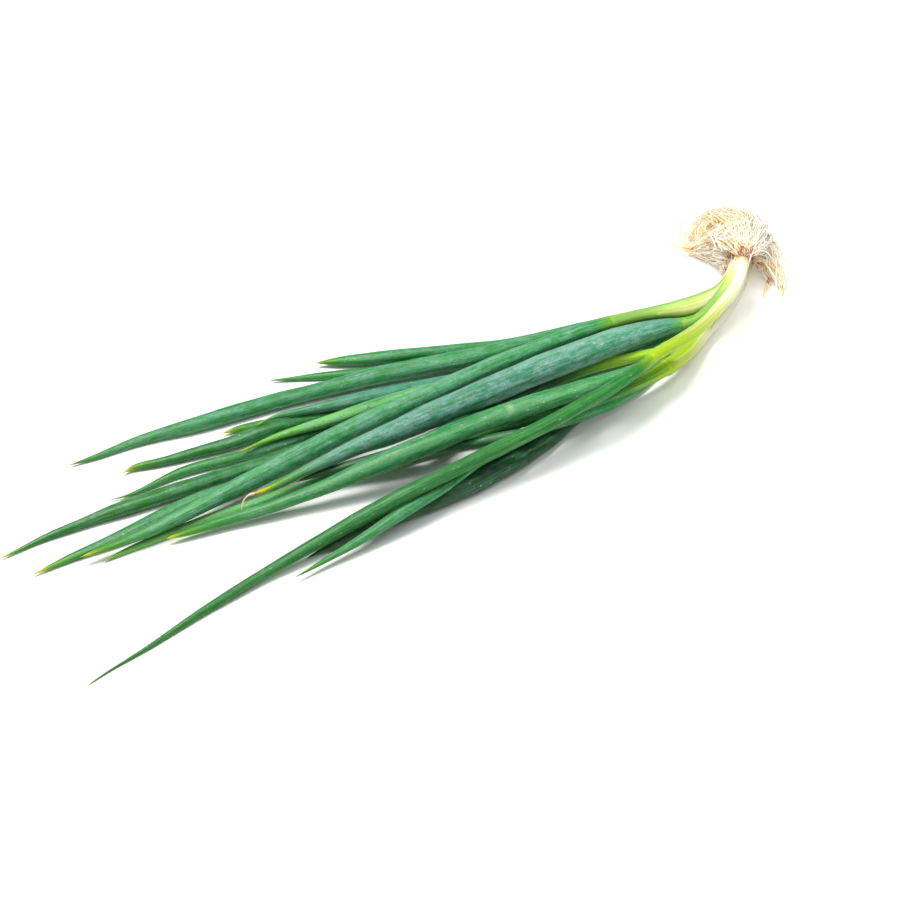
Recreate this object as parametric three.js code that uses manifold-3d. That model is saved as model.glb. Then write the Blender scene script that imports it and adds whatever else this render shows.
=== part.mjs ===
// A bunch of four spring onions with hollow tapering leaves, pale stems and dry roots, lying flat.
// Millimetres. +X runs along the bunch to the roots, +Z is up, z = 0 is the surface it lies on.
import * as THREE from "three";
import Module from "manifold-3d";

const wasm = await Module();
wasm.setup();

// Driving dimensions
const LEAF_FLATNESS = 0.86; // height of a leaf or stem section over its width
const LEAF_SIDES = 8; // faces round a leaf or stem
const RINGS_PER_POINT = 1; // rings along a leaf or stem over its points
const CORNER = 1.03; // corner radius over half-width, so that the faceted section keeps its area
const TIP_RADIUS = 0.35; // half-width kept at a leaf tip
const CLEARANCE = 0.35; // gap between a root tuft and what it touches
const BUNDLE_SIDES = 6; // faces round a bundle of rootlets
const BUNDLE_RINGS = 9; // rings along a bundle of rootlets

// Each strand: points [x, y, z, half-width] from the leaf tip to its base, or from the collar to the crown.
const STRANDS = {
  // plant a, whose stem lies on top of the other three
  stem_a: [[113.6, -67.1, 32.7, 3.77], [125.6, -65.3, 31.8, 3.84], [137.5, -63.0, 30.7, 3.74], [149.4, -60.5, 29.8, 3.72], [161.0, -57.0, 29.1, 3.53], [172.3, -52.5, 28.5, 3.40], [183.5, -47.7, 28.2, 3.62], [194.6, -42.7, 28.0, 3.78], [205.1, -36.6, 27.9, 3.72], [214.5, -28.9, 27.9, 3.85], [223.1, -20.2, 28.0, 3.76]],
  leaf_a1: [[-280.6, -81.3, 0.6, 0.25], [-271.5, -79.5, 0.7, 0.48], [-259.6, -78.0, 0.8, 0.73], [-246.3, -76.6, 1.0, 1.19], [-232.2, -74.7, 1.2, 1.65], [-217.4, -72.2, 1.6, 2.12], [-202.0, -69.9, 2.1, 2.59], [-185.9, -68.1, 2.7, 2.90], [-169.4, -66.6, 3.7, 3.08], [-152.4, -65.6, 5.0, 3.36], [-135.1, -65.4, 6.8, 3.71], [-117.5, -65.7, 9.2, 4.09], [-99.7, -66.5, 12.1, 4.74], [-81.7, -68.3, 15.6, 4.68], [-63.9, -70.6, 19.3, 4.55], [-45.2, -71.9, 20.9, 4.35], [-26.0, -72.5, 22.2, 4.42], [-6.6, -73.2, 23.5, 4.55], [13.0, -74.5, 25.1, 4.52], [32.8, -75.3, 27.0, 4.34], [52.8, -75.3, 29.1, 4.31], [73.0, -75.7, 31.4, 4.25], [93.2, -73.2, 32.8, 3.86], [113.0, -67.4, 32.7, 3.69]],
  leaf_a2: [[-188.9, -9.3, 4.4, 0.25], [-180.5, -11.1, 4.4, 1.73], [-169.6, -13.3, 4.7, 2.54], [-157.5, -15.9, 5.1, 3.02], [-144.7, -19.2, 5.9, 3.39], [-131.3, -23.1, 7.0, 3.80], [-117.3, -26.6, 8.6, 3.92], [-103.0, -30.4, 10.8, 4.35], [-88.2, -34.1, 13.6, 4.89], [-73.1, -37.7, 16.8, 5.78], [-57.8, -41.6, 20.0, 6.31], [-41.8, -44.8, 22.0, 6.35], [-25.1, -46.1, 22.6, 6.22], [-8.0, -47.2, 23.0, 5.92], [9.0, -50.1, 23.9, 6.29], [26.2, -53.8, 25.4, 6.33], [43.2, -58.7, 27.5, 6.15], [61.0, -62.1, 27.9, 5.73], [78.9, -65.4, 28.3, 5.08], [97.4, -66.3, 27.0, 4.23], [115.9, -64.1, 26.2, 3.40], [134.4, -60.8, 26.5, 1.35]],
  // plant b, whose stem lies at the far side
  stem_b: [[130.5, -10.7, 16.5, 4.13], [141.7, -12.8, 16.4, 3.72], [152.6, -16.4, 16.5, 3.76], [163.3, -20.6, 16.6, 4.73], [173.6, -25.0, 17.0, 5.91], [184.0, -25.9, 16.0, 6.13], [195.4, -25.3, 15.3, 5.26], [206.3, -22.1, 14.7, 4.48], [216.4, -16.7, 14.3, 3.97], [225.8, -10.1, 14.0, 3.68], [234.7, -2.9, 13.9, 3.53]],
  leaf_b1: [[-236.1, 3.0, 6.4, 0.25], [-227.6, 2.1, 6.5, 1.36], [-216.7, 0.5, 6.7, 2.25], [-204.5, -1.0, 7.2, 2.90], [-191.4, -2.2, 7.8, 3.49], [-177.6, -2.5, 8.5, 4.23], [-163.3, -2.6, 9.4, 4.40], [-148.4, -2.3, 10.3, 4.93], [-133.2, -2.1, 11.3, 5.60], [-117.5, -1.8, 11.8, 5.92], [-101.4, -1.3, 12.4, 6.34], [-85.1, -0.7, 12.9, 6.53], [-68.4, -0.1, 13.5, 6.54], [-51.5, 0.1, 14.2, 6.35], [-34.3, -1.0, 15.1, 6.22], [-16.9, -2.2, 16.3, 5.57], [0.7, -3.6, 17.8, 5.47], [18.5, -4.5, 18.9, 5.58], [36.6, -3.9, 18.3, 5.43], [54.9, -4.0, 17.7, 5.36], [73.5, -4.6, 17.2, 4.87], [92.2, -5.5, 16.9, 5.03], [111.0, -7.5, 16.6, 4.95], [129.8, -10.6, 16.5, 4.16]],
  leaf_b2: [[-199.3, 81.3, 1.7, 0.25], [-189.9, 79.6, 1.8, 1.10], [-177.6, 78.1, 2.0, 2.01], [-164.0, 77.1, 2.4, 2.69], [-149.5, 75.0, 2.8, 3.44], [-134.5, 71.2, 3.4, 4.40], [-118.9, 67.3, 3.9, 5.05], [-102.6, 64.2, 4.2, 5.41], [-85.8, 61.0, 4.4, 5.36], [-68.6, 57.4, 4.6, 5.42], [-51.3, 52.6, 4.9, 5.03], [-33.7, 47.6, 5.3, 5.43], [-15.7, 43.0, 6.0, 6.09], [2.1, 36.5, 6.8, 6.12], [19.9, 29.2, 7.7, 6.27], [37.7, 21.4, 8.8, 6.37], [56.5, 15.3, 10.0, 5.36], [75.8, 10.3, 10.4, 4.56], [95.5, 5.5, 10.4, 3.67], [115.7, 2.3, 10.5, 2.91], [136.2, -1.0, 10.5, 2.14], [153.6, -11.8, 13.9, 1.35]],
  leaf_b3: [[-31.0, 76.3, 3.3, 0.25], [-23.1, 71.6, 3.4, 2.27], [-12.8, 65.5, 3.7, 3.89], [-1.4, 58.8, 4.2, 4.46], [11.0, 51.9, 4.9, 4.52], [23.7, 44.1, 5.8, 4.29], [36.8, 36.1, 6.8, 4.28], [51.1, 29.0, 6.9, 4.05], [66.3, 22.4, 6.6, 3.48], [82.4, 17.2, 6.3, 3.20], [99.2, 12.7, 6.2, 3.16], [116.3, 8.4, 6.1, 3.24], [133.8, 4.0, 6.0, 2.72], [149.7, -3.3, 8.2, 2.04], [162.8, -15.7, 12.5, 1.35]],
  leaf_b4: [[-62.0, 80.1, 1.7, 0.25], [-54.1, 75.6, 1.8, 0.97], [-43.7, 69.9, 1.9, 1.86], [-32.1, 63.5, 2.1, 2.84], [-19.6, 56.9, 2.2, 2.94], [-6.3, 50.4, 2.0, 2.79], [7.8, 44.1, 1.8, 2.24], [22.8, 38.7, 1.6, 1.80], [38.5, 33.6, 1.4, 1.65], [54.6, 28.5, 1.3, 1.66], [71.0, 23.4, 1.4, 1.66], [87.9, 18.6, 1.4, 1.66], [105.3, 14.1, 1.3, 1.67], [122.7, 8.8, 1.2, 1.67], [140.7, 4.5, 1.3, 1.66], [155.5, -3.7, 7.9, 1.51], [168.2, -15.7, 15.0, 1.35]],
  leaf_b5: [[-96.3, 39.6, 10.2, 0.25], [-86.8, 40.2, 10.2, 0.97], [-75.2, 37.4, 10.2, 2.11], [-62.0, 33.6, 9.8, 2.76], [-47.9, 29.7, 9.4, 3.77], [-33.1, 25.3, 9.1, 4.34], [-17.7, 20.8, 8.9, 4.46], [-1.7, 16.4, 8.7, 4.18], [14.4, 10.5, 8.6, 4.28], [31.2, 6.6, 8.5, 3.63], [49.0, 4.3, 9.1, 2.57], [67.1, 1.8, 9.7, 1.97], [85.6, -0.5, 10.2, 1.65], [104.4, -2.6, 10.5, 1.64], [123.5, -5.0, 10.8, 1.65], [142.3, -9.0, 12.8, 1.35]],
  leaf_b6: [[-111.9, 53.3, 2.2, 0.25], [-103.6, 51.8, 2.3, 1.98], [-93.0, 47.9, 2.3, 3.12], [-81.1, 44.0, 2.1, 2.88], [-68.1, 40.6, 1.9, 2.46], [-54.4, 37.3, 1.7, 1.93], [-40.1, 33.7, 1.5, 1.62], [-25.5, 29.7, 1.3, 1.62], [-10.5, 25.4, 1.2, 1.62], [4.9, 20.8, 1.1, 1.63], [20.6, 16.0, 1.1, 1.63], [36.6, 11.1, 1.1, 1.63], [52.8, 6.2, 1.1, 1.64], [69.7, 2.2, 1.1, 1.64], [86.9, -1.5, 1.4, 1.64], [104.2, -5.5, 1.7, 1.65], [121.9, -9.2, 1.9, 1.65], [140.0, -11.9, 1.9, 1.66], [158.4, -14.2, 1.7, 1.66], [176.6, -18.3, 1.3, 1.68], [190.6, -25.8, 8.6, 1.35]],
  leaf_b7: [[-177.4, 56.2, 2.3, 0.25], [-168.0, 56.6, 2.4, 2.32], [-156.0, 52.0, 2.6, 2.63], [-142.3, 48.3, 2.9, 3.36], [-127.5, 44.5, 3.5, 3.81], [-111.9, 40.6, 4.1, 4.34], [-95.4, 38.6, 4.9, 4.74], [-78.5, 35.4, 5.1, 4.15], [-61.1, 31.7, 4.2, 2.98], [-43.6, 26.9, 3.4, 2.01], [-25.3, 23.0, 2.8, 1.83], [-6.9, 18.2, 2.5, 1.67], [11.8, 13.1, 2.4, 1.62], [30.8, 7.8, 2.5, 1.63], [49.9, 2.0, 2.7, 1.63], [69.7, -2.5, 2.8, 1.63], [89.7, -7.3, 3.5, 1.64], [109.9, -12.4, 3.9, 1.65], [130.5, -16.6, 4.1, 1.65], [151.6, -19.4, 3.8, 1.65], [172.9, -22.2, 3.3, 1.67], [190.5, -19.5, 12.1, 1.35]],
  // plant e, whose stem lies under stem a
  stem_e: [[162.8, -40.3, 19.2, 2.96], [170.8, -41.5, 19.6, 3.48], [178.8, -40.2, 20.1, 3.80], [186.4, -37.5, 20.5, 3.88], [193.8, -34.2, 21.1, 3.89], [201.0, -30.5, 21.4, 3.88], [208.0, -26.4, 21.3, 3.84], [214.8, -21.9, 21.2, 3.78], [221.4, -17.2, 21.2, 3.72], [228.0, -12.5, 21.2, 3.63], [234.3, -7.4, 21.2, 3.51]],
  leaf_e1: [[-134.0, -14.3, 13.3, 0.25], [-127.8, -16.4, 13.5, 2.10], [-118.8, -16.8, 14.0, 2.74], [-108.8, -17.0, 14.8, 2.99], [-98.1, -17.5, 15.9, 3.35], [-87.0, -18.6, 17.2, 3.98], [-75.8, -18.4, 17.2, 4.75], [-63.7, -17.5, 16.5, 5.33], [-51.2, -17.9, 16.1, 6.42], [-38.4, -18.4, 15.9, 7.02], [-25.2, -18.8, 16.1, 7.46], [-11.9, -19.8, 16.8, 7.86], [1.6, -21.3, 17.7, 7.93], [15.2, -23.1, 19.3, 8.47], [29.3, -23.4, 19.1, 8.87], [43.5, -23.9, 19.1, 8.89], [58.0, -24.1, 19.1, 9.09], [72.6, -25.3, 19.1, 9.20], [87.4, -26.8, 19.2, 8.95], [102.3, -28.3, 19.4, 8.96], [117.3, -30.0, 19.3, 8.68], [132.5, -31.7, 18.9, 7.49], [147.8, -34.1, 18.8, 5.71], [162.2, -40.0, 19.2, 3.01]],
  leaf_e2: [[-270.0, 33.4, 1.5, 0.25], [-257.5, 33.4, 1.6, 1.11], [-241.2, 33.7, 2.0, 2.10], [-223.2, 31.7, 2.5, 2.98], [-203.9, 29.6, 3.3, 4.18], [-183.9, 26.0, 3.9, 5.03], [-162.9, 22.8, 4.1, 5.27], [-141.2, 19.5, 4.0, 5.08], [-118.9, 16.2, 3.8, 4.79], [-95.9, 12.9, 3.7, 4.70], [-72.3, 11.4, 3.3, 4.07], [-48.3, 9.2, 2.9, 2.49], [-23.7, 7.3, 2.9, 1.66], [1.0, 3.8, 3.5, 1.60], [25.9, -1.2, 4.5, 1.61], [50.7, -7.4, 5.4, 1.62], [75.7, -14.3, 4.6, 1.64], [100.3, -23.8, 5.6, 1.63], [126.5, -29.0, 6.3, 1.64], [153.5, -30.2, 6.7, 1.63], [180.3, -30.8, 8.5, 1.59], [206.5, -30.6, 16.8, 1.35]],
  leaf_e3: [[-196.1, 41.4, 1.5, 0.25], [-185.5, 38.1, 1.6, 0.84], [-171.1, 37.4, 1.8, 1.78], [-155.0, 37.6, 2.2, 2.95], [-138.0, 34.8, 2.6, 3.49], [-120.5, 30.2, 2.6, 3.49], [-102.1, 26.3, 2.7, 3.48], [-82.9, 23.2, 2.7, 3.61], [-63.0, 20.5, 2.5, 2.71], [-42.8, 16.7, 2.4, 2.16], [-22.1, 13.3, 2.5, 1.69], [-0.9, 9.8, 3.0, 1.61], [20.4, 5.4, 3.8, 1.62], [41.9, -0.2, 4.8, 1.62], [63.8, -5.5, 5.3, 1.63], [85.6, -11.5, 6.1, 1.64], [107.8, -17.8, 7.3, 1.64], [130.9, -22.4, 7.6, 1.64], [154.5, -24.7, 6.8, 1.65], [178.1, -27.6, 6.0, 1.66], [201.2, -29.2, 12.6, 1.51], [223.1, -22.5, 19.9, 1.35]],
  leaf_e4: [[-117.2, 27.1, 8.3, 0.25], [-108.9, 26.4, 8.3, 0.85], [-98.1, 26.1, 8.5, 1.61], [-86.1, 24.6, 8.7, 2.42], [-73.5, 21.7, 9.1, 3.16], [-60.3, 18.8, 9.6, 3.86], [-46.4, 16.5, 10.1, 4.16], [-32.0, 14.0, 10.8, 4.12], [-17.4, 10.6, 11.5, 3.98], [-2.4, 7.1, 12.2, 3.90], [12.8, 3.1, 12.9, 3.00], [28.4, 0.1, 11.9, 2.38], [44.5, -3.1, 10.7, 1.69], [60.9, -5.7, 9.6, 1.63], [77.6, -7.9, 8.8, 1.63], [94.6, -10.1, 8.9, 1.63], [112.0, -10.6, 9.4, 1.62], [129.5, -10.1, 9.8, 1.64], [147.1, -12.9, 10.0, 1.66], [163.2, -20.7, 10.1, 1.68], [177.2, -31.6, 11.8, 1.63], [194.0, -34.2, 15.8, 1.35]],
  leaf_e5: [[-262.5, 10.7, 1.8, 0.25], [-250.8, 10.5, 1.9, 1.37], [-235.6, 10.2, 2.3, 2.49], [-218.8, 8.5, 2.8, 3.44], [-200.7, 7.5, 3.5, 4.52], [-181.7, 8.2, 3.8, 4.85], [-162.0, 8.5, 4.1, 4.83], [-141.6, 6.5, 4.7, 4.29], [-120.6, 5.8, 5.4, 2.97], [-99.0, 5.6, 6.5, 1.75], [-77.0, 5.2, 6.3, 1.56], [-54.5, 4.4, 5.4, 1.57], [-31.7, 2.7, 4.6, 1.59], [-8.5, 0.1, 3.8, 1.60], [15.0, -3.2, 3.2, 1.61], [38.1, -8.8, 2.4, 1.62], [60.6, -18.1, 2.2, 1.63], [83.4, -27.5, 3.2, 1.63], [107.6, -32.9, 4.0, 1.62], [132.6, -35.0, 6.9, 1.62], [158.0, -34.9, 9.1, 1.62], [181.7, -34.2, 17.7, 1.35]],
  // plant c, whose stem lies lowest at the near side
  stem_c: [[132.0, -61.3, 12.6, 4.72], [144.6, -57.3, 11.1, 4.97], [156.8, -52.0, 9.7, 5.18], [168.4, -45.4, 8.6, 5.35], [180.3, -39.5, 7.5, 5.31], [192.7, -34.4, 6.6, 4.98], [204.7, -28.5, 5.8, 4.63], [216.3, -21.9, 5.2, 4.41], [227.5, -14.6, 4.8, 4.23], [238.1, -6.5, 4.6, 4.02], [248.3, 2.2, 4.5, 3.81]],
  leaf_c1: [[-52.7, -28.6, 2.2, 0.25], [-47.1, -29.5, 2.3, 1.19], [-39.9, -30.7, 2.4, 1.95], [-31.9, -32.1, 2.8, 2.28], [-23.2, -33.0, 3.3, 2.49], [-14.2, -34.5, 4.1, 2.73], [-5.1, -37.3, 5.3, 3.00], [4.1, -40.4, 6.8, 3.26], [13.3, -44.3, 8.8, 3.31], [22.5, -48.5, 11.2, 3.45], [31.6, -53.2, 14.0, 3.61], [39.9, -58.8, 17.6, 3.68], [50.2, -62.4, 18.7, 4.01], [61.2, -64.8, 18.7, 4.20], [72.5, -66.1, 17.8, 3.71], [84.1, -66.3, 16.9, 3.64], [95.8, -66.2, 15.8, 3.81], [107.6, -65.1, 14.8, 4.20], [119.5, -63.6, 13.8, 4.34], [131.3, -61.6, 12.8, 4.71]],
  leaf_c2: [[-148.1, -78.0, 3.8, 0.25], [-139.3, -77.7, 4.0, 0.84], [-127.8, -77.1, 4.7, 1.61], [-115.1, -77.0, 5.8, 2.26], [-101.5, -76.7, 7.5, 2.93], [-87.3, -76.1, 9.4, 3.49], [-72.6, -75.5, 11.7, 3.97], [-57.2, -75.1, 13.2, 3.47], [-41.4, -73.9, 14.3, 3.08], [-25.4, -70.6, 14.7, 2.90], [-9.1, -67.2, 14.2, 3.03], [7.8, -65.9, 13.8, 3.54], [25.0, -63.9, 12.6, 3.39], [42.5, -62.8, 11.5, 3.69], [60.4, -63.2, 10.4, 4.86], [78.5, -63.5, 9.3, 5.56], [96.9, -63.2, 8.5, 4.39], [115.4, -61.5, 8.0, 2.17], [133.9, -58.1, 7.5, 1.81]],
  leaf_c3: [[-224.9, -2.2, 1.5, 0.25], [-215.1, -2.4, 1.6, 1.32], [-202.3, -2.5, 1.7, 2.12], [-188.2, -4.0, 1.9, 2.50], [-173.1, -5.1, 2.1, 2.75], [-157.3, -7.3, 2.4, 3.21], [-141.0, -10.4, 2.6, 3.49], [-124.1, -13.4, 3.0, 3.63], [-106.7, -16.0, 3.4, 3.65], [-89.0, -19.9, 4.2, 3.67], [-70.9, -23.6, 5.4, 3.49], [-53.0, -29.5, 7.0, 3.61], [-35.2, -36.4, 9.3, 3.39], [-18.3, -45.8, 12.3, 3.14], [-1.8, -56.2, 16.2, 3.04], [14.9, -66.1, 19.6, 2.68], [34.9, -69.3, 21.1, 1.92], [55.5, -70.1, 22.6, 1.62], [76.2, -67.9, 22.4, 1.55], [96.8, -63.2, 21.1, 1.55], [117.7, -58.4, 20.3, 1.57], [137.9, -53.7, 14.8, 1.35]],
  leaf_c4: [[-133.4, -67.6, 2.4, 0.25], [-124.5, -66.9, 2.4, 1.27], [-112.9, -67.7, 2.6, 2.74], [-100.1, -68.1, 3.0, 3.41], [-86.3, -68.5, 3.4, 4.20], [-71.8, -69.1, 4.0, 5.02], [-56.8, -70.1, 4.7, 5.96], [-41.2, -70.9, 5.2, 6.58], [-25.2, -71.3, 5.5, 6.99], [-8.7, -70.9, 5.5, 6.97], [8.1, -69.7, 5.2, 6.57], [25.1, -67.3, 4.6, 5.81], [42.3, -64.3, 3.9, 4.92], [59.6, -60.1, 3.3, 2.70], [77.5, -59.5, 2.8, 2.17], [95.8, -59.4, 2.6, 1.89], [114.2, -58.1, 3.1, 1.61], [132.1, -52.5, 3.3, 1.60], [150.9, -51.1, 4.6, 1.35]],
  leaf_c5: [[-106.7, -17.8, 11.0, 0.25], [-97.8, -19.0, 11.2, 1.43], [-86.5, -21.4, 11.6, 2.45], [-74.3, -25.5, 12.4, 3.21], [-61.3, -30.0, 13.6, 3.54], [-47.5, -34.1, 14.9, 3.63], [-32.7, -36.6, 16.3, 3.59], [-17.6, -35.3, 14.3, 3.70], [-2.0, -32.6, 11.9, 3.91], [14.1, -29.9, 9.8, 3.97], [30.8, -28.6, 8.3, 4.03], [47.8, -28.4, 8.1, 3.91], [65.3, -28.2, 8.2, 3.23], [83.0, -29.4, 8.3, 3.16], [100.8, -32.1, 8.8, 3.39], [118.0, -37.9, 10.1, 3.63], [135.7, -43.7, 10.9, 2.81], [153.9, -45.8, 9.7, 1.35]],
};

// Each root tuft: bundles of rootlets that spring from one crown, as points [x, y, z, half-width] from the crown outwards
const TUFTS = {
  roots_a: [
    [[227.8, -14.9, 26.0, 2.6], [231.6, -3.4, 30.0, 4.2], [239.1, 15.8, 29.0, 4.6], [243.6, 33.4, 25.0, 4.8], [239.0, 39.2, 19.0, 4.6], [232.6, 39.8, 12.0, 4.0], [229.6, 39.4, 2.6, 2.0]],
    [[227.3, -14.6, 26.0, 2.6], [235.7, -0.6, 30.5, 4.2], [245.7, 19.6, 28.0, 4.4], [248.6, 35.2, 23.5, 4.4], [246.5, 43.7, 15.0, 3.8], [241.7, 44.2, 5.0, 2.4]],
    [[228.3, -15.3, 26.0, 2.6], [236.8, -4.9, 31.0, 4.2], [250.4, 12.6, 28.5, 4.4], [255.8, 28.2, 24.5, 4.2], [256.4, 39.9, 17.0, 3.4], [252.9, 42.6, 6.0, 2.2]],
    [[229.3, -16.0, 26.0, 2.6], [239.6, -8.3, 31.0, 4.2], [255.8, 8.2, 28.0, 4.4], [263.8, 22.8, 23.5, 4.0], [266.5, 33.7, 14.0, 3.2], [262.1, 33.5, 5.0, 2.2]],
    [[229.6, -16.7, 25.5, 2.6], [240.8, -12.8, 30.0, 4.2], [257.4, 0.2, 26.5, 4.2], [270.0, 13.9, 19.0, 3.6], [274.1, 22.3, 8.0, 2.6]],
    [[227.3, -13.7, 25.5, 2.6], [228.0, -4.0, 28.0, 4.0], [230.9, 11.7, 25.5, 4.2], [232.6, 24.7, 19.0, 4.2], [230.7, 30.6, 11.0, 3.4], [228.4, 33.1, 2.8, 2.0]],
    [[229.9, -17.3, 25.0, 2.6], [240.0, -15.8, 27.5, 3.8], [256.3, -7.3, 22.0, 3.8], [270.4, 5.1, 13.0, 3.2], [274.5, 10.7, 5.0, 2.2]],
  ],
  roots_c: [
    [[250.0, -1.6, 7.5, 2.4], [252.4, -7.1, 12.0, 3.6], [254.1, -12.8, 11.5, 3.8], [252.7, -20.5, 8.0, 3.4], [250.6, -28.2, 2.6, 2.0]],
    [[250.3, -1.3, 8.0, 2.4], [254.7, -5.1, 14.5, 3.6], [260.3, -7.4, 13.5, 3.8], [258.2, -15.0, 9.5, 3.4], [254.7, -23.4, 5.0, 2.8], [248.4, -32.8, 1.6, 1.4]],
    [[250.1, -2.6, 6.5, 2.2], [251.1, -8.2, 6.2, 3.2], [250.4, -14.9, 5.0, 3.0], [248.4, -20.3, 2.0, 1.8]],
    [[250.5, -0.1, 8.0, 2.4], [261.3, 1.2, 12.0, 3.4], [269.9, 3.0, 9.0, 3.4], [267.4, -6.1, 4.4, 3.0], [260.1, -18.5, 2.2, 2.0]],
  ],
  roots_b: [
    [[235.9, 1.8, 13.0, 2.4], [233.9, 7.4, 16.0, 3.8], [232.3, 17.9, 13.0, 4.0], [230.2, 26.8, 8.0, 3.8], [227.4, 32.8, 2.6, 2.2]],
    [[235.7, 1.5, 12.5, 2.4], [231.1, 3.0, 13.5, 3.4], [230.7, 10.7, 8.5, 3.4], [230.8, 19.1, 2.8, 2.2]],
    [[235.5, 1.2, 12.0, 2.4], [230.8, 0.4, 10.5, 3.2], [229.3, 4.0, 6.0, 2.8], [229.6, 3.0, 1.8, 1.6]],
    [[236.1, 2.1, 13.5, 2.4], [237.1, 14.0, 15.5, 3.6], [237.8, 28.2, 11.0, 3.6], [234.6, 34.7, 5.5, 2.8], [230.8, 36.8, 2.0, 1.6]],
  ],
  roots_e: [
    [[236.9, -4.1, 19.0, 2.4], [246.5, 13.6, 16.5, 3.6], [252.7, 32.0, 10.5, 3.8], [253.6, 44.4, 5.5, 3.2], [248.2, 47.6, 2.0, 1.6]],
    [[238.7, -4.0, 19.0, 2.4], [254.2, 7.1, 17.0, 3.6], [269.9, 17.6, 10.0, 3.6], [278.4, 27.7, 3.2, 2.4]],
    [[238.6, -3.1, 18.5, 2.4], [252.0, 14.0, 15.5, 3.8], [263.7, 30.8, 9.0, 3.6], [269.7, 44.2, 3.0, 2.2]],
    [[239.4, -4.1, 18.0, 2.4], [256.2, 2.4, 15.0, 3.4], [269.2, 9.0, 9.0, 3.2], [273.5, 10.2, 2.6, 1.8]],
  ],
};

// Leaf bases that are dented where a neighbour presses on them
const DENTED_BY = {
  leaf_a2: ["leaf_a1"],
  leaf_b5: ["leaf_b2"],
  leaf_c2: ["leaf_c1", "stem_c"],
  leaf_c3: ["leaf_c2"],
  leaf_e1: ["stem_e"],
  leaf_e2: ["stem_b"],
  leaf_e3: ["stem_b"],
  leaf_e4: ["leaf_b1", "stem_b"],
};

const leafPaint = (hex) =>
  new THREE.MeshStandardMaterial({ color: hex, roughness: 0.45, metalness: 0 });
const PAINT = {
  leaf_a: () => leafPaint(0x3f8f45),
  leaf_b: () => leafPaint(0x4c9a5c),
  leaf_c: () => leafPaint(0x2f6f57),
  leaf_e: () => leafPaint(0x4b8f78),
  stem: () =>
    new THREE.MeshStandardMaterial({ color: 0xc9dc74, roughness: 0.4, metalness: 0 }),
  roots: () =>
    new THREE.MeshStandardMaterial({ color: 0xe9dcb8, roughness: 0.9, metalness: 0 }),
};

// A LatheGeometry of unit profile, closed at both ends, is bent along the strand's curve.
function strand(points, sides = LEAF_SIDES, rings = Math.round((points.length - 1) * RINGS_PER_POINT) + 1) {
  const path = new THREE.CatmullRomCurve3(
    points.map((p) => new THREE.Vector3(p[0], p[1], p[2])),
    false,
    "centripetal",
  );
  const n = points.length - 1;
  const halfWidth = (t) => {
    const k = Math.min(t * n, n - 1e-9);
    const i = Math.floor(k);
    const u = k - i;
    return Math.max(TIP_RADIUS, points[i][3] * (1 - u) + points[i + 1][3] * u);
  };
  const profile = [new THREE.Vector2(0, 0)];
  for (let i = 0; i < rings; i++) profile.push(new THREE.Vector2(1, i / (rings - 1)));
  profile.push(new THREE.Vector2(0, 1));
  const shape = new THREE.LatheGeometry(profile, sides);
  const pos = shape.getAttribute("position");
  const up = new THREE.Vector3(0, 0, 1);
  const turn = Math.PI / sides;
  for (let i = 0; i < pos.count; i++) {
    const r = Math.hypot(pos.getX(i), pos.getZ(i));
    const angle = Math.atan2(pos.getZ(i), pos.getX(i)) + turn;
    const t = Math.min(Math.max(pos.getY(i), 0), 1);
    const c = path.getPoint(t);
    const tangent = path.getTangent(t);
    const side = new THREE.Vector3().crossVectors(up, tangent).normalize();
    const rise = new THREE.Vector3().crossVectors(tangent, side);
    const w = halfWidth(t) * CORNER * r;
    c.addScaledVector(side, w * Math.cos(angle));
    c.addScaledVector(rise, w * LEAF_FLATNESS * Math.sin(angle));
    pos.setXYZ(i, c.x, c.y, c.z);
  }
  return shape;
}

// Geometry to solid: equal corners are welded and faces of no area are left out.
function solid(shape) {
  const g = shape.index ? shape.toNonIndexed() : shape;
  const p = g.getAttribute("position");
  const verts = [];
  const seen = new Map();
  const tris = [];
  for (let i = 0; i < p.count; i++) {
    const key = [p.getX(i), p.getY(i), p.getZ(i)].map((v) => Math.round(v * 1e4)).join();
    if (!seen.has(key)) {
      seen.set(key, verts.length / 3);
      verts.push(p.getX(i), p.getY(i), p.getZ(i));
    }
    tris.push(seen.get(key));
  }
  const kept = [];
  for (let i = 0; i < tris.length; i += 3) {
    const [a, b, c] = tris.slice(i, i + 3);
    if (a !== b && b !== c && a !== c) kept.push(a, b, c);
  }
  const made = new wasm.Manifold(
    new wasm.Mesh({
      numProp: 3,
      vertProperties: new Float32Array(verts),
      triVerts: new Uint32Array(kept),
    }),
  );
  if (made.volume() >= 0) return made;
  for (let i = 0; i < kept.length; i += 3) [kept[i + 1], kept[i + 2]] = [kept[i + 2], kept[i + 1]];
  return new wasm.Manifold(
    new wasm.Mesh({
      numProp: 3,
      vertProperties: new Float32Array(verts),
      triVerts: new Uint32Array(kept),
    }),
  );
}

// What lies under the surface is pressed flat against it.
const room = new THREE.BoxGeometry(900, 500, 200);
room.translate(0, 0, 100);
const ABOVE = solid(room);

const thick = (points) => points.map(([x, y, z, w]) => [x, y, z, w + CLEARANCE / LEAF_FLATNESS]);
const largest = (s) => s.decompose().sort((p, q) => q.volume() - p.volume())[0];
const made = new Map();
for (const [name, points] of Object.entries(STRANDS)) {
  let s = solid(strand(points)).intersect(ABOVE);
  for (const other of DENTED_BY[name] ?? []) s = s.subtract(solid(strand(thick(STRANDS[other]))));
  made.set(name, largest(s));
}

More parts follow.
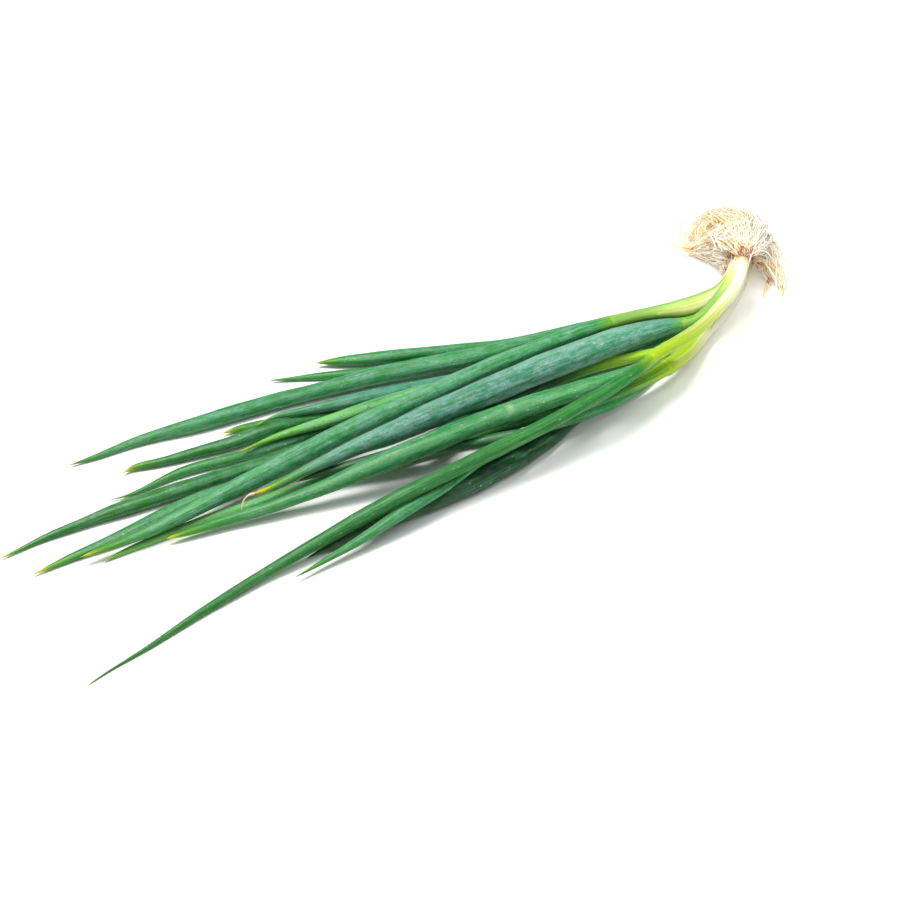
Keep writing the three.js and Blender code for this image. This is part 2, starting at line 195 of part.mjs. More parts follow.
// Root tufts give way to the stems and to the tufts before them.
const grown = (points) => {
  const end = points[points.length - 1];
  const before = points[points.length - 2];
  const d = Math.hypot(end[0] - before[0], end[1] - before[1], end[2] - before[2]);
  const k = CLEARANCE / d;
  const past = [0, 1, 2].map((i) => end[i] + (end[i] - before[i]) * k);
  return thick([...points.slice(0, -1), [...past, end[3]]]);
};
const keepOut = Object.entries(STRANDS)
  .filter(([name]) => name.startsWith("stem"))
  .map(([, points]) => solid(strand(grown(points))));
// Each tuft is the union of its bundles, and the tufts made before it are kept clear.
const tuft = (bundles, extra) =>
  bundles
    .map((points) => solid(strand(points.map(([x, y, z, w]) => [x, y, z, w + extra]), BUNDLE_SIDES, BUNDLE_RINGS)))
    .reduce((a, b) => a.add(b));
const placed = [];
for (const [name, bundles] of Object.entries(TUFTS)) {
  let s = tuft(bundles, 0).intersect(ABOVE);
  for (const other of [...keepOut, ...placed]) s = s.subtract(other);
  made.set(name, largest(s));
  placed.push(tuft(bundles, CLEARANCE / LEAF_FLATNESS));
}

const group = new THREE.Group();
for (const [name, s] of made) {
  const m = s.getMesh();
  const v = new Float32Array(m.numVert * 3);
  for (let i = 0; i < m.numVert; i++)
    v.set(m.vertProperties.subarray(i * m.numProp, i * m.numProp + 3), i * 3);
  const g = new THREE.BufferGeometry()
    .setAttribute("position", new THREE.BufferAttribute(v, 3))
    .setIndex(new THREE.BufferAttribute(new Uint32Array(m.triVerts), 1));
  g.computeVertexNormals();
  const paint = name.startsWith("leaf") ? PAINT[name.slice(0, 6)] : PAINT[name.split("_")[0]];
  const mesh = new THREE.Mesh(g, paint());
  mesh.name = name;
  group.add(mesh);
}

export default group;
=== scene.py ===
"""A bunch of four spring onions lying flat: hollow waxy leaves, pale sheathed stems and a mop of dry rootlets."""
import math

import bpy
import numpy as np
from mathutils import Matrix, Vector


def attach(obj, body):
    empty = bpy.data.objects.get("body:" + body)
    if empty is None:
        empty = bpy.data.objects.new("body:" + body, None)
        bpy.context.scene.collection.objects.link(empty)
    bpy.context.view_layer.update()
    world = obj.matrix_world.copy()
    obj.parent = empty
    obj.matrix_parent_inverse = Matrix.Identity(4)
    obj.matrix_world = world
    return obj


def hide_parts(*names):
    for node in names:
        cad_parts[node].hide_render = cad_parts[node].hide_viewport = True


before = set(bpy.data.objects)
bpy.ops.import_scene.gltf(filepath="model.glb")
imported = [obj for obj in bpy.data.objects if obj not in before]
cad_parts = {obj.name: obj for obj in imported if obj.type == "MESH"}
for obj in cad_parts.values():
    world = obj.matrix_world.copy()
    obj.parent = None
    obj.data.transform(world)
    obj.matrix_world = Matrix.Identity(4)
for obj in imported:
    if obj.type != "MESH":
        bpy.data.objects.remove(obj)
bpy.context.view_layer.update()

MM = 0.001
FLATNESS = 0.86  # height of a section over its width
RNG = np.random.default_rng(20461)

# Centre lines in millimetres with the half-width: leaves from tip to base, stems from collar to crown.
STRANDS = {
    "leaf_c4": [(-133.4,-67.6,2.4,0.25), (-127.5,-66.8,2.4,0.97), (-120.6,-67.2,2.5,1.72), (-113.2,-67.7,2.6,2.71), (-105.5,-68.0,2.8,3.21), (-97.6,-68.2,3.1,3.52), (-89.5,-68.4,3.3,4.00), (-81.2,-68.7,3.6,4.50), (-72.8,-69.1,4.0,4.96), (-64.2,-69.6,4.3,5.51), (-55.6,-70.1,4.7,6.02), (-46.8,-70.6,5.0,6.39), (-37.9,-71.0,5.3,6.69), (-29.0,-71.2,5.5,6.92), (-19.9,-71.3,5.6,7.07), (-10.8,-71.0,5.6,7.02), (-1.6,-70.3,5.4,6.80), (7.6,-69.7,5.2,6.58), (16.9,-68.7,4.9,6.25), (26.2,-67.1,4.5,5.75), (35.5,-65.5,4.1,5.29), (44.9,-63.8,3.8,4.72), (54.2,-61.5,3.5,3.42), (63.6,-59.5,3.2,2.42), (73.2,-59.4,2.9,2.23), (82.9,-59.5,2.5,2.10), (92.7,-59.4,2.5,1.94), (102.5,-59.5,2.8,1.78), (112.3,-58.6,3.0,1.63), (121.6,-55.3,3.2,1.57), (131.2,-52.7,3.3,1.59), (141.1,-52.7,3.5,1.57), (150.9,-51.1,4.6,1.35)],
    "leaf_c2": [(-148.1,-78.0,3.8,0.25), (-142.3,-77.8,3.9,0.69), (-135.4,-77.5,4.2,1.08), (-128.1,-77.1,4.7,1.60), (-120.5,-77.0,5.3,1.97), (-112.7,-76.9,6.1,2.39), (-104.7,-76.8,7.0,2.81), (-96.5,-76.5,8.1,3.09), (-88.3,-76.2,9.3,3.43), (-79.9,-75.8,10.6,3.87), (-71.4,-75.5,11.8,3.96), (-62.7,-75.3,12.8,3.70), (-54.0,-74.9,13.5,3.39), (-45.1,-74.4,14.1,3.20), (-36.3,-72.9,14.5,3.01), (-27.4,-71.0,14.7,2.94), (-18.5,-69.0,14.5,2.83), (-9.5,-67.3,14.2,3.01), (-0.3,-66.5,14.1,3.44), (8.9,-65.7,13.7,3.54), (18.2,-64.8,13.1,3.52), (27.5,-63.6,12.5,3.33), (37.0,-62.8,11.9,3.37), (46.5,-62.8,11.3,3.97), (56.1,-63.1,10.6,4.60), (65.7,-63.3,10.0,5.14), (75.4,-63.4,9.5,5.52), (85.1,-63.5,9.0,5.45), (94.8,-63.3,8.6,4.61), (104.6,-62.7,8.3,3.51), (114.4,-61.7,8.0,2.26), (124.2,-60.2,7.8,1.86), (133.9,-58.1,7.5,1.81)],
    "leaf_c1": [(-52.7,-28.6,2.2,0.25), (-46.5,-29.6,2.3,1.29), (-39.1,-30.9,2.5,1.99), (-31.3,-32.1,2.8,2.30), (-23.1,-33.0,3.3,2.50), (-14.8,-34.4,4.1,2.71), (-6.5,-36.8,5.1,2.96), (1.9,-39.6,6.4,3.22), (10.1,-42.9,8.0,3.30), (18.3,-46.6,10.1,3.34), (26.4,-50.4,12.4,3.56), (34.4,-54.7,14.9,3.62), (41.7,-59.5,17.9,3.72), (50.7,-62.6,18.7,4.02), (60.2,-64.7,18.7,4.21), (69.9,-65.9,18.1,3.83), (79.7,-66.3,17.3,3.57), (89.6,-66.3,16.4,3.79), (99.5,-65.9,15.5,3.89), (109.5,-64.8,14.6,4.23), (119.5,-63.6,13.8,4.34), (129.6,-62.2,13.2,4.66), (139.3,-59.2,11.7,4.88)],
    "stem_c": [(127.7,-62.5,13.3,4.60), (132.4,-61.2,12.6,4.73), (137.1,-59.9,12.0,4.84), (141.8,-58.4,11.4,4.92), (146.4,-56.7,10.9,5.00), (150.9,-54.8,10.4,5.08), (155.4,-52.8,9.9,5.15), (159.7,-50.4,9.4,5.23), (164.0,-48.0,9.0,5.30), (168.3,-45.5,8.6,5.34), (172.6,-43.2,8.2,5.36), (177.0,-41.0,7.8,5.35), (181.5,-39.0,7.4,5.29), (186.1,-37.1,7.1,5.18), (190.6,-35.2,6.7,5.05), (195.1,-33.3,6.4,4.90), (199.6,-31.1,6.1,4.77), (204.0,-28.9,5.9,4.64), (208.3,-26.5,5.6,4.55), (212.6,-24.1,5.4,4.47), (216.9,-21.6,5.2,4.41), (221.0,-19.0,5.1,4.34), (225.2,-16.3,4.9,4.27), (229.2,-13.5,4.8,4.20), (233.2,-10.5,4.7,4.13), (237.0,-7.4,4.6,4.05), (240.8,-4.2,4.5,3.96), (244.6,-1.0,4.5,3.88), (248.3,2.2,4.5,3.81)],
    "leaf_c3": [(-224.9,-2.2,1.5,0.25), (-219.2,-2.2,1.6,1.06), (-212.4,-2.4,1.6,1.47), (-205.2,-2.3,1.7,1.94), (-197.7,-3.1,1.7,2.32), (-190.0,-3.8,1.8,2.47), (-182.1,-4.4,2.0,2.64), (-174.0,-5.0,2.1,2.73), (-165.8,-6.0,2.2,2.96), (-157.5,-7.3,2.4,3.20), (-149.2,-8.8,2.5,3.38), (-140.8,-10.4,2.6,3.50), (-132.3,-12.1,2.8,3.60), (-123.6,-13.5,3.0,3.63), (-114.9,-14.8,3.2,3.62), (-106.1,-16.1,3.4,3.65), (-97.3,-18.0,3.8,3.67), (-88.5,-20.0,4.2,3.67), (-79.5,-21.6,4.7,3.65), (-70.6,-23.7,5.4,3.48), (-61.8,-26.4,6.1,3.51), (-53.1,-29.5,7.0,3.61), (-44.3,-32.6,8.0,3.60), (-35.7,-36.2,9.2,3.40), (-27.3,-40.3,10.6,3.27), (-19.3,-45.2,12.1,3.15), (-11.5,-50.4,13.9,3.07), (-3.5,-55.3,15.8,3.04), (4.7,-59.9,17.9,3.05), (12.4,-64.9,19.5,2.80), (21.5,-68.1,20.1,2.39), (31.2,-69.2,20.8,2.03), (40.9,-69.6,21.5,1.79), (50.7,-69.9,22.2,1.67), (60.5,-70.0,22.9,1.59), (70.3,-68.9,22.7,1.55), (80.1,-67.1,22.1,1.55), (89.8,-64.8,21.5,1.55), (99.5,-62.6,20.9,1.56), (109.2,-60.3,20.5,1.56), (119.1,-58.2,20.3,1.57), (128.5,-55.8,17.9,1.46), (137.9,-53.7,14.8,1.35)],
    "leaf_b4": [(-62.0,80.1,1.7,0.25), (-56.8,77.1,1.7,0.71), (-50.5,73.6,1.8,1.26), (-43.8,70.0,1.9,1.85), (-36.8,66.1,2.0,2.61), (-29.6,62.2,2.1,2.89), (-22.2,58.2,2.2,2.94), (-14.6,54.4,2.2,2.94), (-6.7,50.6,2.0,2.81), (1.3,46.9,1.9,2.49), (9.6,43.4,1.8,2.19), (18.1,40.3,1.6,1.92), (26.8,37.4,1.5,1.71), (35.6,34.5,1.4,1.65), (44.5,31.7,1.4,1.65), (53.5,28.8,1.3,1.66), (62.6,26.0,1.4,1.66), (71.7,23.2,1.4,1.66), (81.0,20.5,1.4,1.66), (90.4,18.0,1.4,1.66), (99.8,15.6,1.3,1.67), (109.3,13.0,1.3,1.67), (118.8,10.1,1.3,1.67), (128.3,7.2,1.3,1.67), (138.0,5.0,1.3,1.67), (147.5,2.3,2.7,1.60), (154.7,-2.9,7.2,1.52), (160.8,-9.3,12.3,1.43), (168.2,-15.7,15.0,1.35)],
    "leaf_b3": [(-31.0,76.3,3.3,0.25), (-25.6,73.2,3.4,1.66), (-19.4,69.4,3.5,2.99), (-12.7,65.4,3.7,3.90), (-5.7,61.3,4.0,4.32), (1.5,57.2,4.3,4.52), (9.0,53.1,4.8,4.56), (16.5,48.7,5.3,4.39), (24.0,44.0,5.8,4.29), (31.6,39.2,6.5,4.28), (39.3,34.7,6.9,4.28), (47.6,30.5,7.0,4.20), (56.1,26.8,6.8,3.81), (64.8,23.0,6.6,3.52), (73.7,19.7,6.5,3.34), (82.9,17.1,6.3,3.19), (92.3,14.7,6.2,3.09), (101.7,12.0,6.2,3.20), (111.2,9.6,6.1,3.24), (120.8,7.2,6.0,3.19), (130.4,4.6,6.0,2.85), (140.2,3.2,6.1,2.48), (148.5,-2.2,7.8,2.09), (155.4,-9.1,10.3,1.76), (162.8,-15.7,12.5,1.35)],
    "leaf_b6": [(-111.9,53.3,2.2,0.25), (-106.2,52.9,2.3,1.35), (-99.8,50.2,2.3,2.67), (-92.8,47.8,2.3,3.12), (-85.5,45.4,2.2,3.03), (-77.9,43.1,2.1,2.78), (-70.0,41.1,1.9,2.52), (-62.0,39.1,1.8,2.24), (-53.8,37.1,1.7,1.91), (-45.5,35.0,1.6,1.66), (-37.1,32.9,1.4,1.61), (-28.6,30.6,1.4,1.62), (-20.0,28.2,1.3,1.62), (-11.4,25.7,1.2,1.62), (-2.8,23.1,1.2,1.62), (6.0,20.5,1.1,1.63), (14.8,17.8,1.1,1.63), (23.6,15.1,1.1,1.63), (32.6,12.4,1.1,1.63), (41.5,9.6,1.1,1.64), (50.6,6.8,1.1,1.64), (59.8,4.4,1.1,1.64), (69.1,2.3,1.1,1.64), (78.5,0.4,1.2,1.64), (88.0,-1.7,1.4,1.64), (97.4,-3.9,1.6,1.65), (106.9,-6.2,1.8,1.65), (116.5,-8.2,1.9,1.65), (126.2,-10.0,1.9,1.65), (136.0,-11.4,1.9,1.66), (145.9,-12.7,1.9,1.66), (155.8,-13.9,1.7,1.66), (165.7,-15.3,1.6,1.67), (175.4,-18.0,1.4,1.68), (184.3,-21.8,2.1,1.62), (190.6,-25.8,8.6,1.35)],
    "leaf_b7": [(-177.4,56.2,2.3,0.25), (-172.1,57.7,2.3,1.54), (-165.8,55.8,2.4,2.52), (-159.2,53.2,2.5,2.61), (-152.2,50.8,2.7,2.75), (-144.9,49.0,2.9,3.24), (-137.3,47.1,3.1,3.51), (-129.6,45.1,3.4,3.73), (-121.9,42.9,3.7,4.02), (-113.9,41.0,4.0,4.29), (-105.7,39.6,4.4,4.51), (-97.3,38.8,4.8,4.72), (-89.0,37.3,5.3,4.66), (-80.6,35.7,5.3,4.30), (-72.2,34.1,4.8,3.60), (-63.6,32.2,4.3,3.10), (-55.1,30.1,3.9,2.62), (-46.5,27.7,3.5,2.09), (-37.8,25.6,3.2,1.92), (-29.0,23.8,2.9,1.85), (-20.2,21.7,2.7,1.79), (-11.4,19.4,2.6,1.71), (-2.6,17.0,2.5,1.64), (6.3,14.5,2.4,1.62), (15.3,12.1,2.4,1.62), (24.3,9.7,2.5,1.63), (33.2,7.1,2.6,1.63), (42.2,4.3,2.6,1.63), (51.3,1.7,2.7,1.63), (60.5,-0.6,2.8,1.63), (69.8,-2.5,2.9,1.63), (79.1,-4.7,3.2,1.64), (88.4,-7.0,3.5,1.64), (97.8,-9.4,3.7,1.64), (107.1,-11.7,3.9,1.65), (116.6,-13.9,4.0,1.65), (126.2,-15.8,4.1,1.65), (135.8,-17.5,4.0,1.65), (145.5,-18.8,3.9,1.65), (155.3,-19.6,3.8,1.65), (165.1,-20.7,3.5,1.67), (174.8,-22.6,3.2,1.67), (183.3,-22.7,6.2,1.55), (190.5,-19.5,12.1,1.35)],
    "leaf_e3": [(-196.1,41.4,1.5,0.25), (-190.9,39.2,1.5,0.37), (-184.4,38.0,1.6,0.93), (-177.4,37.4,1.7,1.41), (-170.1,37.4,1.9,1.84), (-162.5,37.6,2.0,2.35), (-154.7,37.6,2.3,2.96), (-146.9,36.6,2.5,3.35), (-139.0,35.1,2.6,3.48), (-131.1,32.9,2.6,3.50), (-123.1,30.8,2.6,3.49), (-114.9,29.0,2.6,3.48), (-106.6,27.2,2.7,3.48), (-98.2,25.6,2.7,3.52), (-89.7,24.3,2.7,3.60), (-81.1,23.0,2.7,3.61), (-72.4,21.8,2.6,3.45), (-63.6,20.6,2.5,2.74), (-54.8,19.1,2.4,2.41), (-46.0,17.3,2.4,2.22), (-37.2,15.7,2.4,2.04), (-28.2,14.2,2.4,1.82), (-19.2,12.9,2.5,1.65), (-10.1,11.4,2.7,1.60), (-1.0,9.8,3.0,1.61), (8.1,8.1,3.3,1.61), (17.2,6.1,3.7,1.61), (26.3,3.9,4.1,1.62), (35.4,1.5,4.5,1.62), (44.5,-0.9,4.9,1.62), (53.7,-3.2,5.2,1.63), (63.0,-5.3,5.3,1.63), (72.3,-7.5,5.4,1.63), (81.3,-10.2,5.8,1.63), (90.4,-13.0,6.4,1.64), (99.7,-15.7,7.0,1.64), (109.1,-18.1,7.4,1.64), (118.6,-20.2,7.6,1.64), (128.2,-21.9,7.6,1.64), (137.9,-23.3,7.4,1.65), (147.7,-24.3,7.1,1.65), (157.5,-24.8,6.7,1.65), (167.3,-25.4,6.0,1.66), (176.9,-27.3,5.9,1.67), (186.6,-28.9,7.6,1.60), (196.0,-29.4,10.6,1.54), (205.4,-28.9,14.1,1.49), (214.6,-27.1,17.6,1.43), (223.1,-22.5,19.9,1.35)],
    "leaf_e2": [(-270.0,33.4,1.5,0.25), (-264.5,33.3,1.6,0.83), (-257.9,33.4,1.6,1.09), (-251.0,33.8,1.7,1.45), (-243.7,33.8,1.9,1.89), (-236.3,33.4,2.1,2.46), (-228.7,32.4,2.4,2.75), (-220.9,31.5,2.6,3.08), (-213.0,30.7,2.9,3.52), (-205.0,29.7,3.3,4.09), (-197.0,28.4,3.6,4.71), (-188.8,26.9,3.8,4.95), (-180.6,25.5,3.9,5.07), (-172.2,24.2,4.0,5.20), (-163.8,22.9,4.1,5.27), (-155.3,21.5,4.1,5.23), (-146.8,20.2,4.0,5.14), (-138.1,19.1,3.9,5.05), (-129.4,17.8,3.9,4.96), (-120.6,16.5,3.8,4.83), (-111.8,15.2,3.8,4.64), (-103.0,13.8,3.7,4.67), (-94.0,12.8,3.6,4.70), (-84.9,12.4,3.6,4.69), (-75.8,11.7,3.4,4.34), (-66.7,10.8,3.2,3.59), (-57.6,9.9,3.0,2.93), (-48.4,9.3,2.9,2.50), (-39.1,8.6,2.8,2.10), (-29.8,7.9,2.8,1.78), (-20.5,6.9,2.9,1.62), (-11.1,5.7,3.1,1.60), (-1.8,4.3,3.4,1.60), (7.5,2.7,3.7,1.60), (16.8,0.8,4.1,1.61), (26.1,-1.3,4.5,1.61), (35.4,-3.6,5.1,1.62), (44.6,-6.0,5.4,1.62), (53.9,-8.1,5.3,1.62), (63.2,-10.2,4.9,1.63), (72.5,-13.1,4.5,1.64), (81.4,-16.9,4.8,1.64), (90.4,-20.6,5.2,1.64), (99.8,-23.6,5.6,1.63), (109.3,-25.8,5.9,1.63), (119.0,-27.5,6.1,1.63), (128.7,-29.4,6.4,1.64), (138.5,-30.4,6.5,1.63), (148.4,-30.3,6.7,1.63), (158.4,-30.0,6.8,1.63), (168.3,-30.3,7.4,1.64), (177.9,-30.7,8.0,1.61), (187.5,-31.4,10.6,1.53), (197.0,-31.8,13.8,1.46), (206.5,-30.6,16.8,1.35)],
    "leaf_e5": [(-262.5,10.7,1.8,0.25), (-256.8,10.6,1.9,0.85), (-250.2,10.5,1.9,1.41), (-243.1,10.5,2.1,1.93), (-235.8,10.2,2.2,2.48), (-228.2,9.5,2.5,2.89), (-220.5,8.6,2.7,3.34), (-212.6,8.0,3.0,3.84), (-204.5,7.7,3.3,4.32), (-196.3,7.5,3.6,4.69), (-188.0,7.9,3.7,4.82), (-179.6,8.3,3.8,4.86), (-171.1,8.6,4.0,4.83), (-162.5,8.5,4.1,4.83), (-153.9,8.0,4.3,4.79), (-145.2,6.8,4.6,4.47), (-136.4,6.1,4.8,4.01), (-127.5,5.8,5.2,3.45), (-118.6,5.8,5.5,2.83), (-109.6,5.8,5.9,2.26), (-100.6,5.7,6.3,1.81), (-91.5,5.5,6.6,1.58), (-82.4,5.3,6.5,1.56), (-73.2,5.2,6.1,1.56), (-63.9,4.8,5.8,1.57), (-54.6,4.4,5.4,1.57), (-45.3,3.8,5.1,1.58), (-35.9,3.0,4.7,1.58), (-26.5,2.2,4.4,1.59), (-17.1,1.1,4.1,1.59), (-7.6,-0.1,3.8,1.60), (1.8,-1.3,3.5,1.60), (11.3,-2.6,3.3,1.61), (20.7,-4.2,3.0,1.61), (30.1,-6.3,2.7,1.62), (39.3,-9.3,2.4,1.62), (48.4,-12.9,2.2,1.63), (57.4,-16.7,2.1,1.63), (66.2,-20.8,2.5,1.63), (75.3,-24.5,2.9,1.63), (84.6,-28.0,3.2,1.63), (94.0,-30.8,3.6,1.62), (103.8,-32.5,3.9,1.62), (113.7,-33.4,4.4,1.61), (123.5,-34.3,5.8,1.61), (133.4,-35.0,7.0,1.62), (143.4,-35.4,8.1,1.62), (153.4,-35.3,8.9,1.62), (163.4,-34.4,9.4,1.62), (172.7,-34.5,13.1,1.50), (181.7,-34.2,17.7,1.35)],
    "leaf_b2": [(-199.3,81.3,1.7,0.25), (-193.6,80.3,1.8,0.71), (-187.0,79.2,1.8,1.37), (-179.9,78.3,2.0,1.89), (-172.4,77.8,2.1,2.25), (-164.7,77.2,2.3,2.64), (-156.9,76.3,2.6,3.14), (-149.0,74.8,2.9,3.46), (-141.0,73.0,3.2,3.79), (-133.0,70.8,3.5,4.54), (-124.8,68.6,3.8,4.92), (-116.5,66.8,4.0,5.10), (-108.0,65.2,4.1,5.30), (-99.4,63.7,4.3,5.46), (-90.8,62.1,4.3,5.49), (-82.1,60.2,4.4,5.30), (-73.3,58.5,4.5,5.38), (-64.6,56.4,4.6,5.33), (-55.9,53.9,4.8,5.05), (-47.0,51.5,5.0,5.04), (-38.2,48.9,5.2,5.23), (-29.3,46.5,5.5,5.61), (-20.3,44.3,5.8,5.96), (-11.3,41.7,6.2,6.18), (-2.5,38.4,6.6,6.17), (6.2,34.7,7.0,6.14), (15.0,31.1,7.5,6.25), (23.8,27.6,8.0,6.28), (32.5,23.7,8.5,6.38), (41.4,20.0,9.0,6.19), (50.6,17.0,9.6,5.54), (59.9,14.4,10.2,5.28), (69.2,11.9,10.5,4.90), (78.7,9.6,10.4,4.41), (88.2,7.2,10.4,3.96), (97.8,5.0,10.4,3.58), (107.6,3.4,10.4,3.21), (117.4,2.1,10.5,2.84), (127.2,0.6,10.5,2.48), (137.0,-1.2,10.6,2.10), (145.5,-6.2,12.2,1.74), (153.6,-11.8,13.9,1.35)],
    "leaf_b5": [(-96.3,39.6,10.2,0.25), (-90.2,40.1,10.2,0.74), (-83.1,39.9,10.2,1.40), (-76.0,37.8,10.2,2.07), (-68.5,35.2,9.9,2.38), (-60.5,33.3,9.7,2.86), (-52.4,31.1,9.5,3.45), (-44.2,28.5,9.4,3.94), (-35.9,25.9,9.2,4.22), (-27.3,23.8,9.0,4.53), (-18.7,21.1,8.9,4.48), (-9.9,18.9,8.8,4.29), (-1.1,16.2,8.7,4.17), (7.6,13.0,8.6,4.21), (16.4,9.8,8.6,4.26), (25.4,7.5,8.5,3.95), (34.8,6.1,8.6,3.41), (44.4,4.9,8.9,2.81), (54.0,3.7,9.3,2.37), (63.6,2.3,9.6,2.07), (73.3,1.0,9.9,1.82), (83.1,-0.2,10.1,1.67), (92.9,-1.3,10.3,1.63), (102.8,-2.4,10.4,1.64), (112.7,-3.6,10.7,1.64), (122.7,-4.9,10.8,1.65), (132.8,-5.9,11.1,1.61), (142.3,-9.0,12.8,1.35)],
    "leaf_e4": [(-117.2,27.1,8.3,0.25), (-111.5,26.4,8.3,0.64), (-104.6,26.5,8.4,1.16), (-97.3,26.1,8.5,1.66), (-89.8,25.2,8.6,2.20), (-82.1,23.7,8.8,2.63), (-74.3,21.9,9.1,3.11), (-66.3,20.1,9.4,3.58), (-58.1,18.3,9.7,3.93), (-49.8,16.9,10.0,4.08), (-41.3,15.8,10.4,4.29), (-32.8,14.2,10.7,4.15), (-24.2,12.3,11.2,3.97), (-15.6,10.2,11.6,3.98), (-6.9,8.2,12.0,3.98), (1.8,6.1,12.5,3.63), (10.5,3.7,12.9,3.09), (19.3,1.7,12.6,2.77), (28.4,0.1,11.9,2.38), (37.5,-1.7,11.3,1.93), (46.6,-3.5,10.6,1.65), (55.9,-5.0,10.0,1.62), (65.2,-6.3,9.4,1.63), (74.6,-7.5,8.9,1.63), (84.1,-8.8,8.8,1.63), (93.6,-10.0,8.9,1.63), (103.2,-10.8,9.2,1.63), (112.9,-10.6,9.4,1.62), (122.6,-10.0,9.6,1.63), (132.4,-10.3,9.8,1.65), (142.1,-11.8,9.9,1.66), (151.6,-14.3,10.0,1.67), (160.4,-18.9,10.1,1.68), (168.9,-24.1,10.1,1.68), (176.0,-30.5,11.4,1.65), (184.5,-35.2,13.4,1.51), (194.0,-34.2,15.8,1.35)],
    "leaf_c5": [(-106.7,-17.8,11.0,0.25), (-100.8,-18.6,11.1,1.05), (-93.9,-19.6,11.3,1.85), (-86.7,-21.3,11.6,2.43), (-79.4,-23.7,12.1,2.90), (-71.8,-26.3,12.6,3.33), (-64.2,-29.0,13.3,3.51), (-56.3,-31.6,14.0,3.58), (-48.2,-33.9,14.8,3.63), (-39.8,-35.6,15.6,3.60), (-31.2,-36.9,16.5,3.59), (-22.8,-36.1,15.3,3.65), (-14.1,-34.7,13.7,3.75), (-5.3,-33.2,12.4,3.88), (3.5,-31.6,11.1,3.93), (12.5,-30.1,10.0,3.96), (21.7,-29.1,9.0,4.00), (30.9,-28.6,8.3,4.03), (40.2,-28.4,8.1,4.03), (49.5,-28.4,8.2,3.85), (59.0,-28.1,8.2,3.39), (68.6,-28.3,8.2,3.18), (78.1,-29.0,8.3,3.14), (87.7,-30.1,8.5,3.19), (97.3,-31.5,8.8,3.33), (106.8,-33.7,9.1,3.52), (115.9,-37.0,9.9,3.65), (125.2,-40.3,10.5,3.29), (134.6,-43.3,10.9,2.88), (144.1,-46.2,10.6,2.14), (153.9,-45.8,9.7,1.35)],
    "leaf_b1": [(-236.1,3.0,6.4,0.25), (-230.4,2.6,6.4,1.02), (-223.8,1.4,6.5,1.72), (-216.8,0.5,6.7,2.24), (-209.4,-0.4,7.0,2.67), (-201.8,-1.4,7.3,3.01), (-194.1,-2.2,7.6,3.32), (-186.1,-2.3,8.0,3.85), (-178.0,-2.5,8.5,4.22), (-169.7,-2.6,9.0,4.35), (-161.4,-2.5,9.5,4.43), (-153.0,-2.4,10.0,4.72), (-144.4,-2.3,10.6,5.10), (-135.8,-2.2,11.2,5.47), (-127.1,-2.0,11.5,5.82), (-118.3,-1.8,11.8,5.90), (-109.5,-1.5,12.1,6.18), (-100.6,-1.2,12.4,6.35), (-91.6,-0.9,12.7,6.45), (-82.5,-0.6,13.0,6.56), (-73.4,-0.3,13.3,6.58), (-64.3,-0.0,13.6,6.47), (-55.1,0.1,14.0,6.30), (-45.8,-0.1,14.5,6.38), (-36.5,-0.8,15.0,6.28), (-27.2,-1.4,15.6,5.91), (-17.8,-2.1,16.3,5.60), (-8.4,-2.9,17.0,5.47), (1.0,-3.7,17.8,5.47), (10.4,-4.7,18.8,5.48), (20.0,-4.5,18.8,5.58), (29.6,-4.1,18.5,5.45), (39.2,-3.9,18.2,5.44), (48.9,-3.9,17.9,5.48), (58.6,-4.2,17.6,5.25), (68.4,-4.5,17.3,4.97), (78.1,-4.8,17.1,4.84), (88.0,-5.2,16.9,4.97), (97.8,-6.0,16.8,5.08), (107.6,-7.0,16.7,5.07), (117.4,-8.4,16.6,4.58), (127.2,-10.2,16.5,4.26), (137.1,-11.7,16.4,3.85)],
    "stem_b": [(127.2,-10.2,16.5,4.26), (132.0,-10.9,16.5,4.06), (136.9,-11.7,16.4,3.85), (141.7,-12.8,16.4,3.72), (146.4,-14.2,16.5,3.67), (151.0,-15.8,16.5,3.71), (155.6,-17.5,16.5,3.93), (160.2,-19.3,16.6,4.37), (164.7,-21.2,16.6,4.91), (169.2,-23.2,16.8,5.49), (173.6,-25.0,17.0,5.91), (177.5,-25.5,16.6,6.08), (182.3,-25.8,16.2,6.16), (187.2,-25.9,15.8,5.98), (192.1,-25.7,15.5,5.56), (197.0,-25.1,15.2,5.13), (201.7,-23.8,14.9,4.77), (206.3,-22.1,14.7,4.48), (210.7,-20.0,14.5,4.25), (215.0,-17.6,14.3,4.04), (219.1,-14.9,14.2,3.86), (223.2,-12.1,14.1,3.74), (227.1,-9.1,14.0,3.66), (230.9,-6.1,13.9,3.59), (234.7,-2.9,13.9,3.53)],
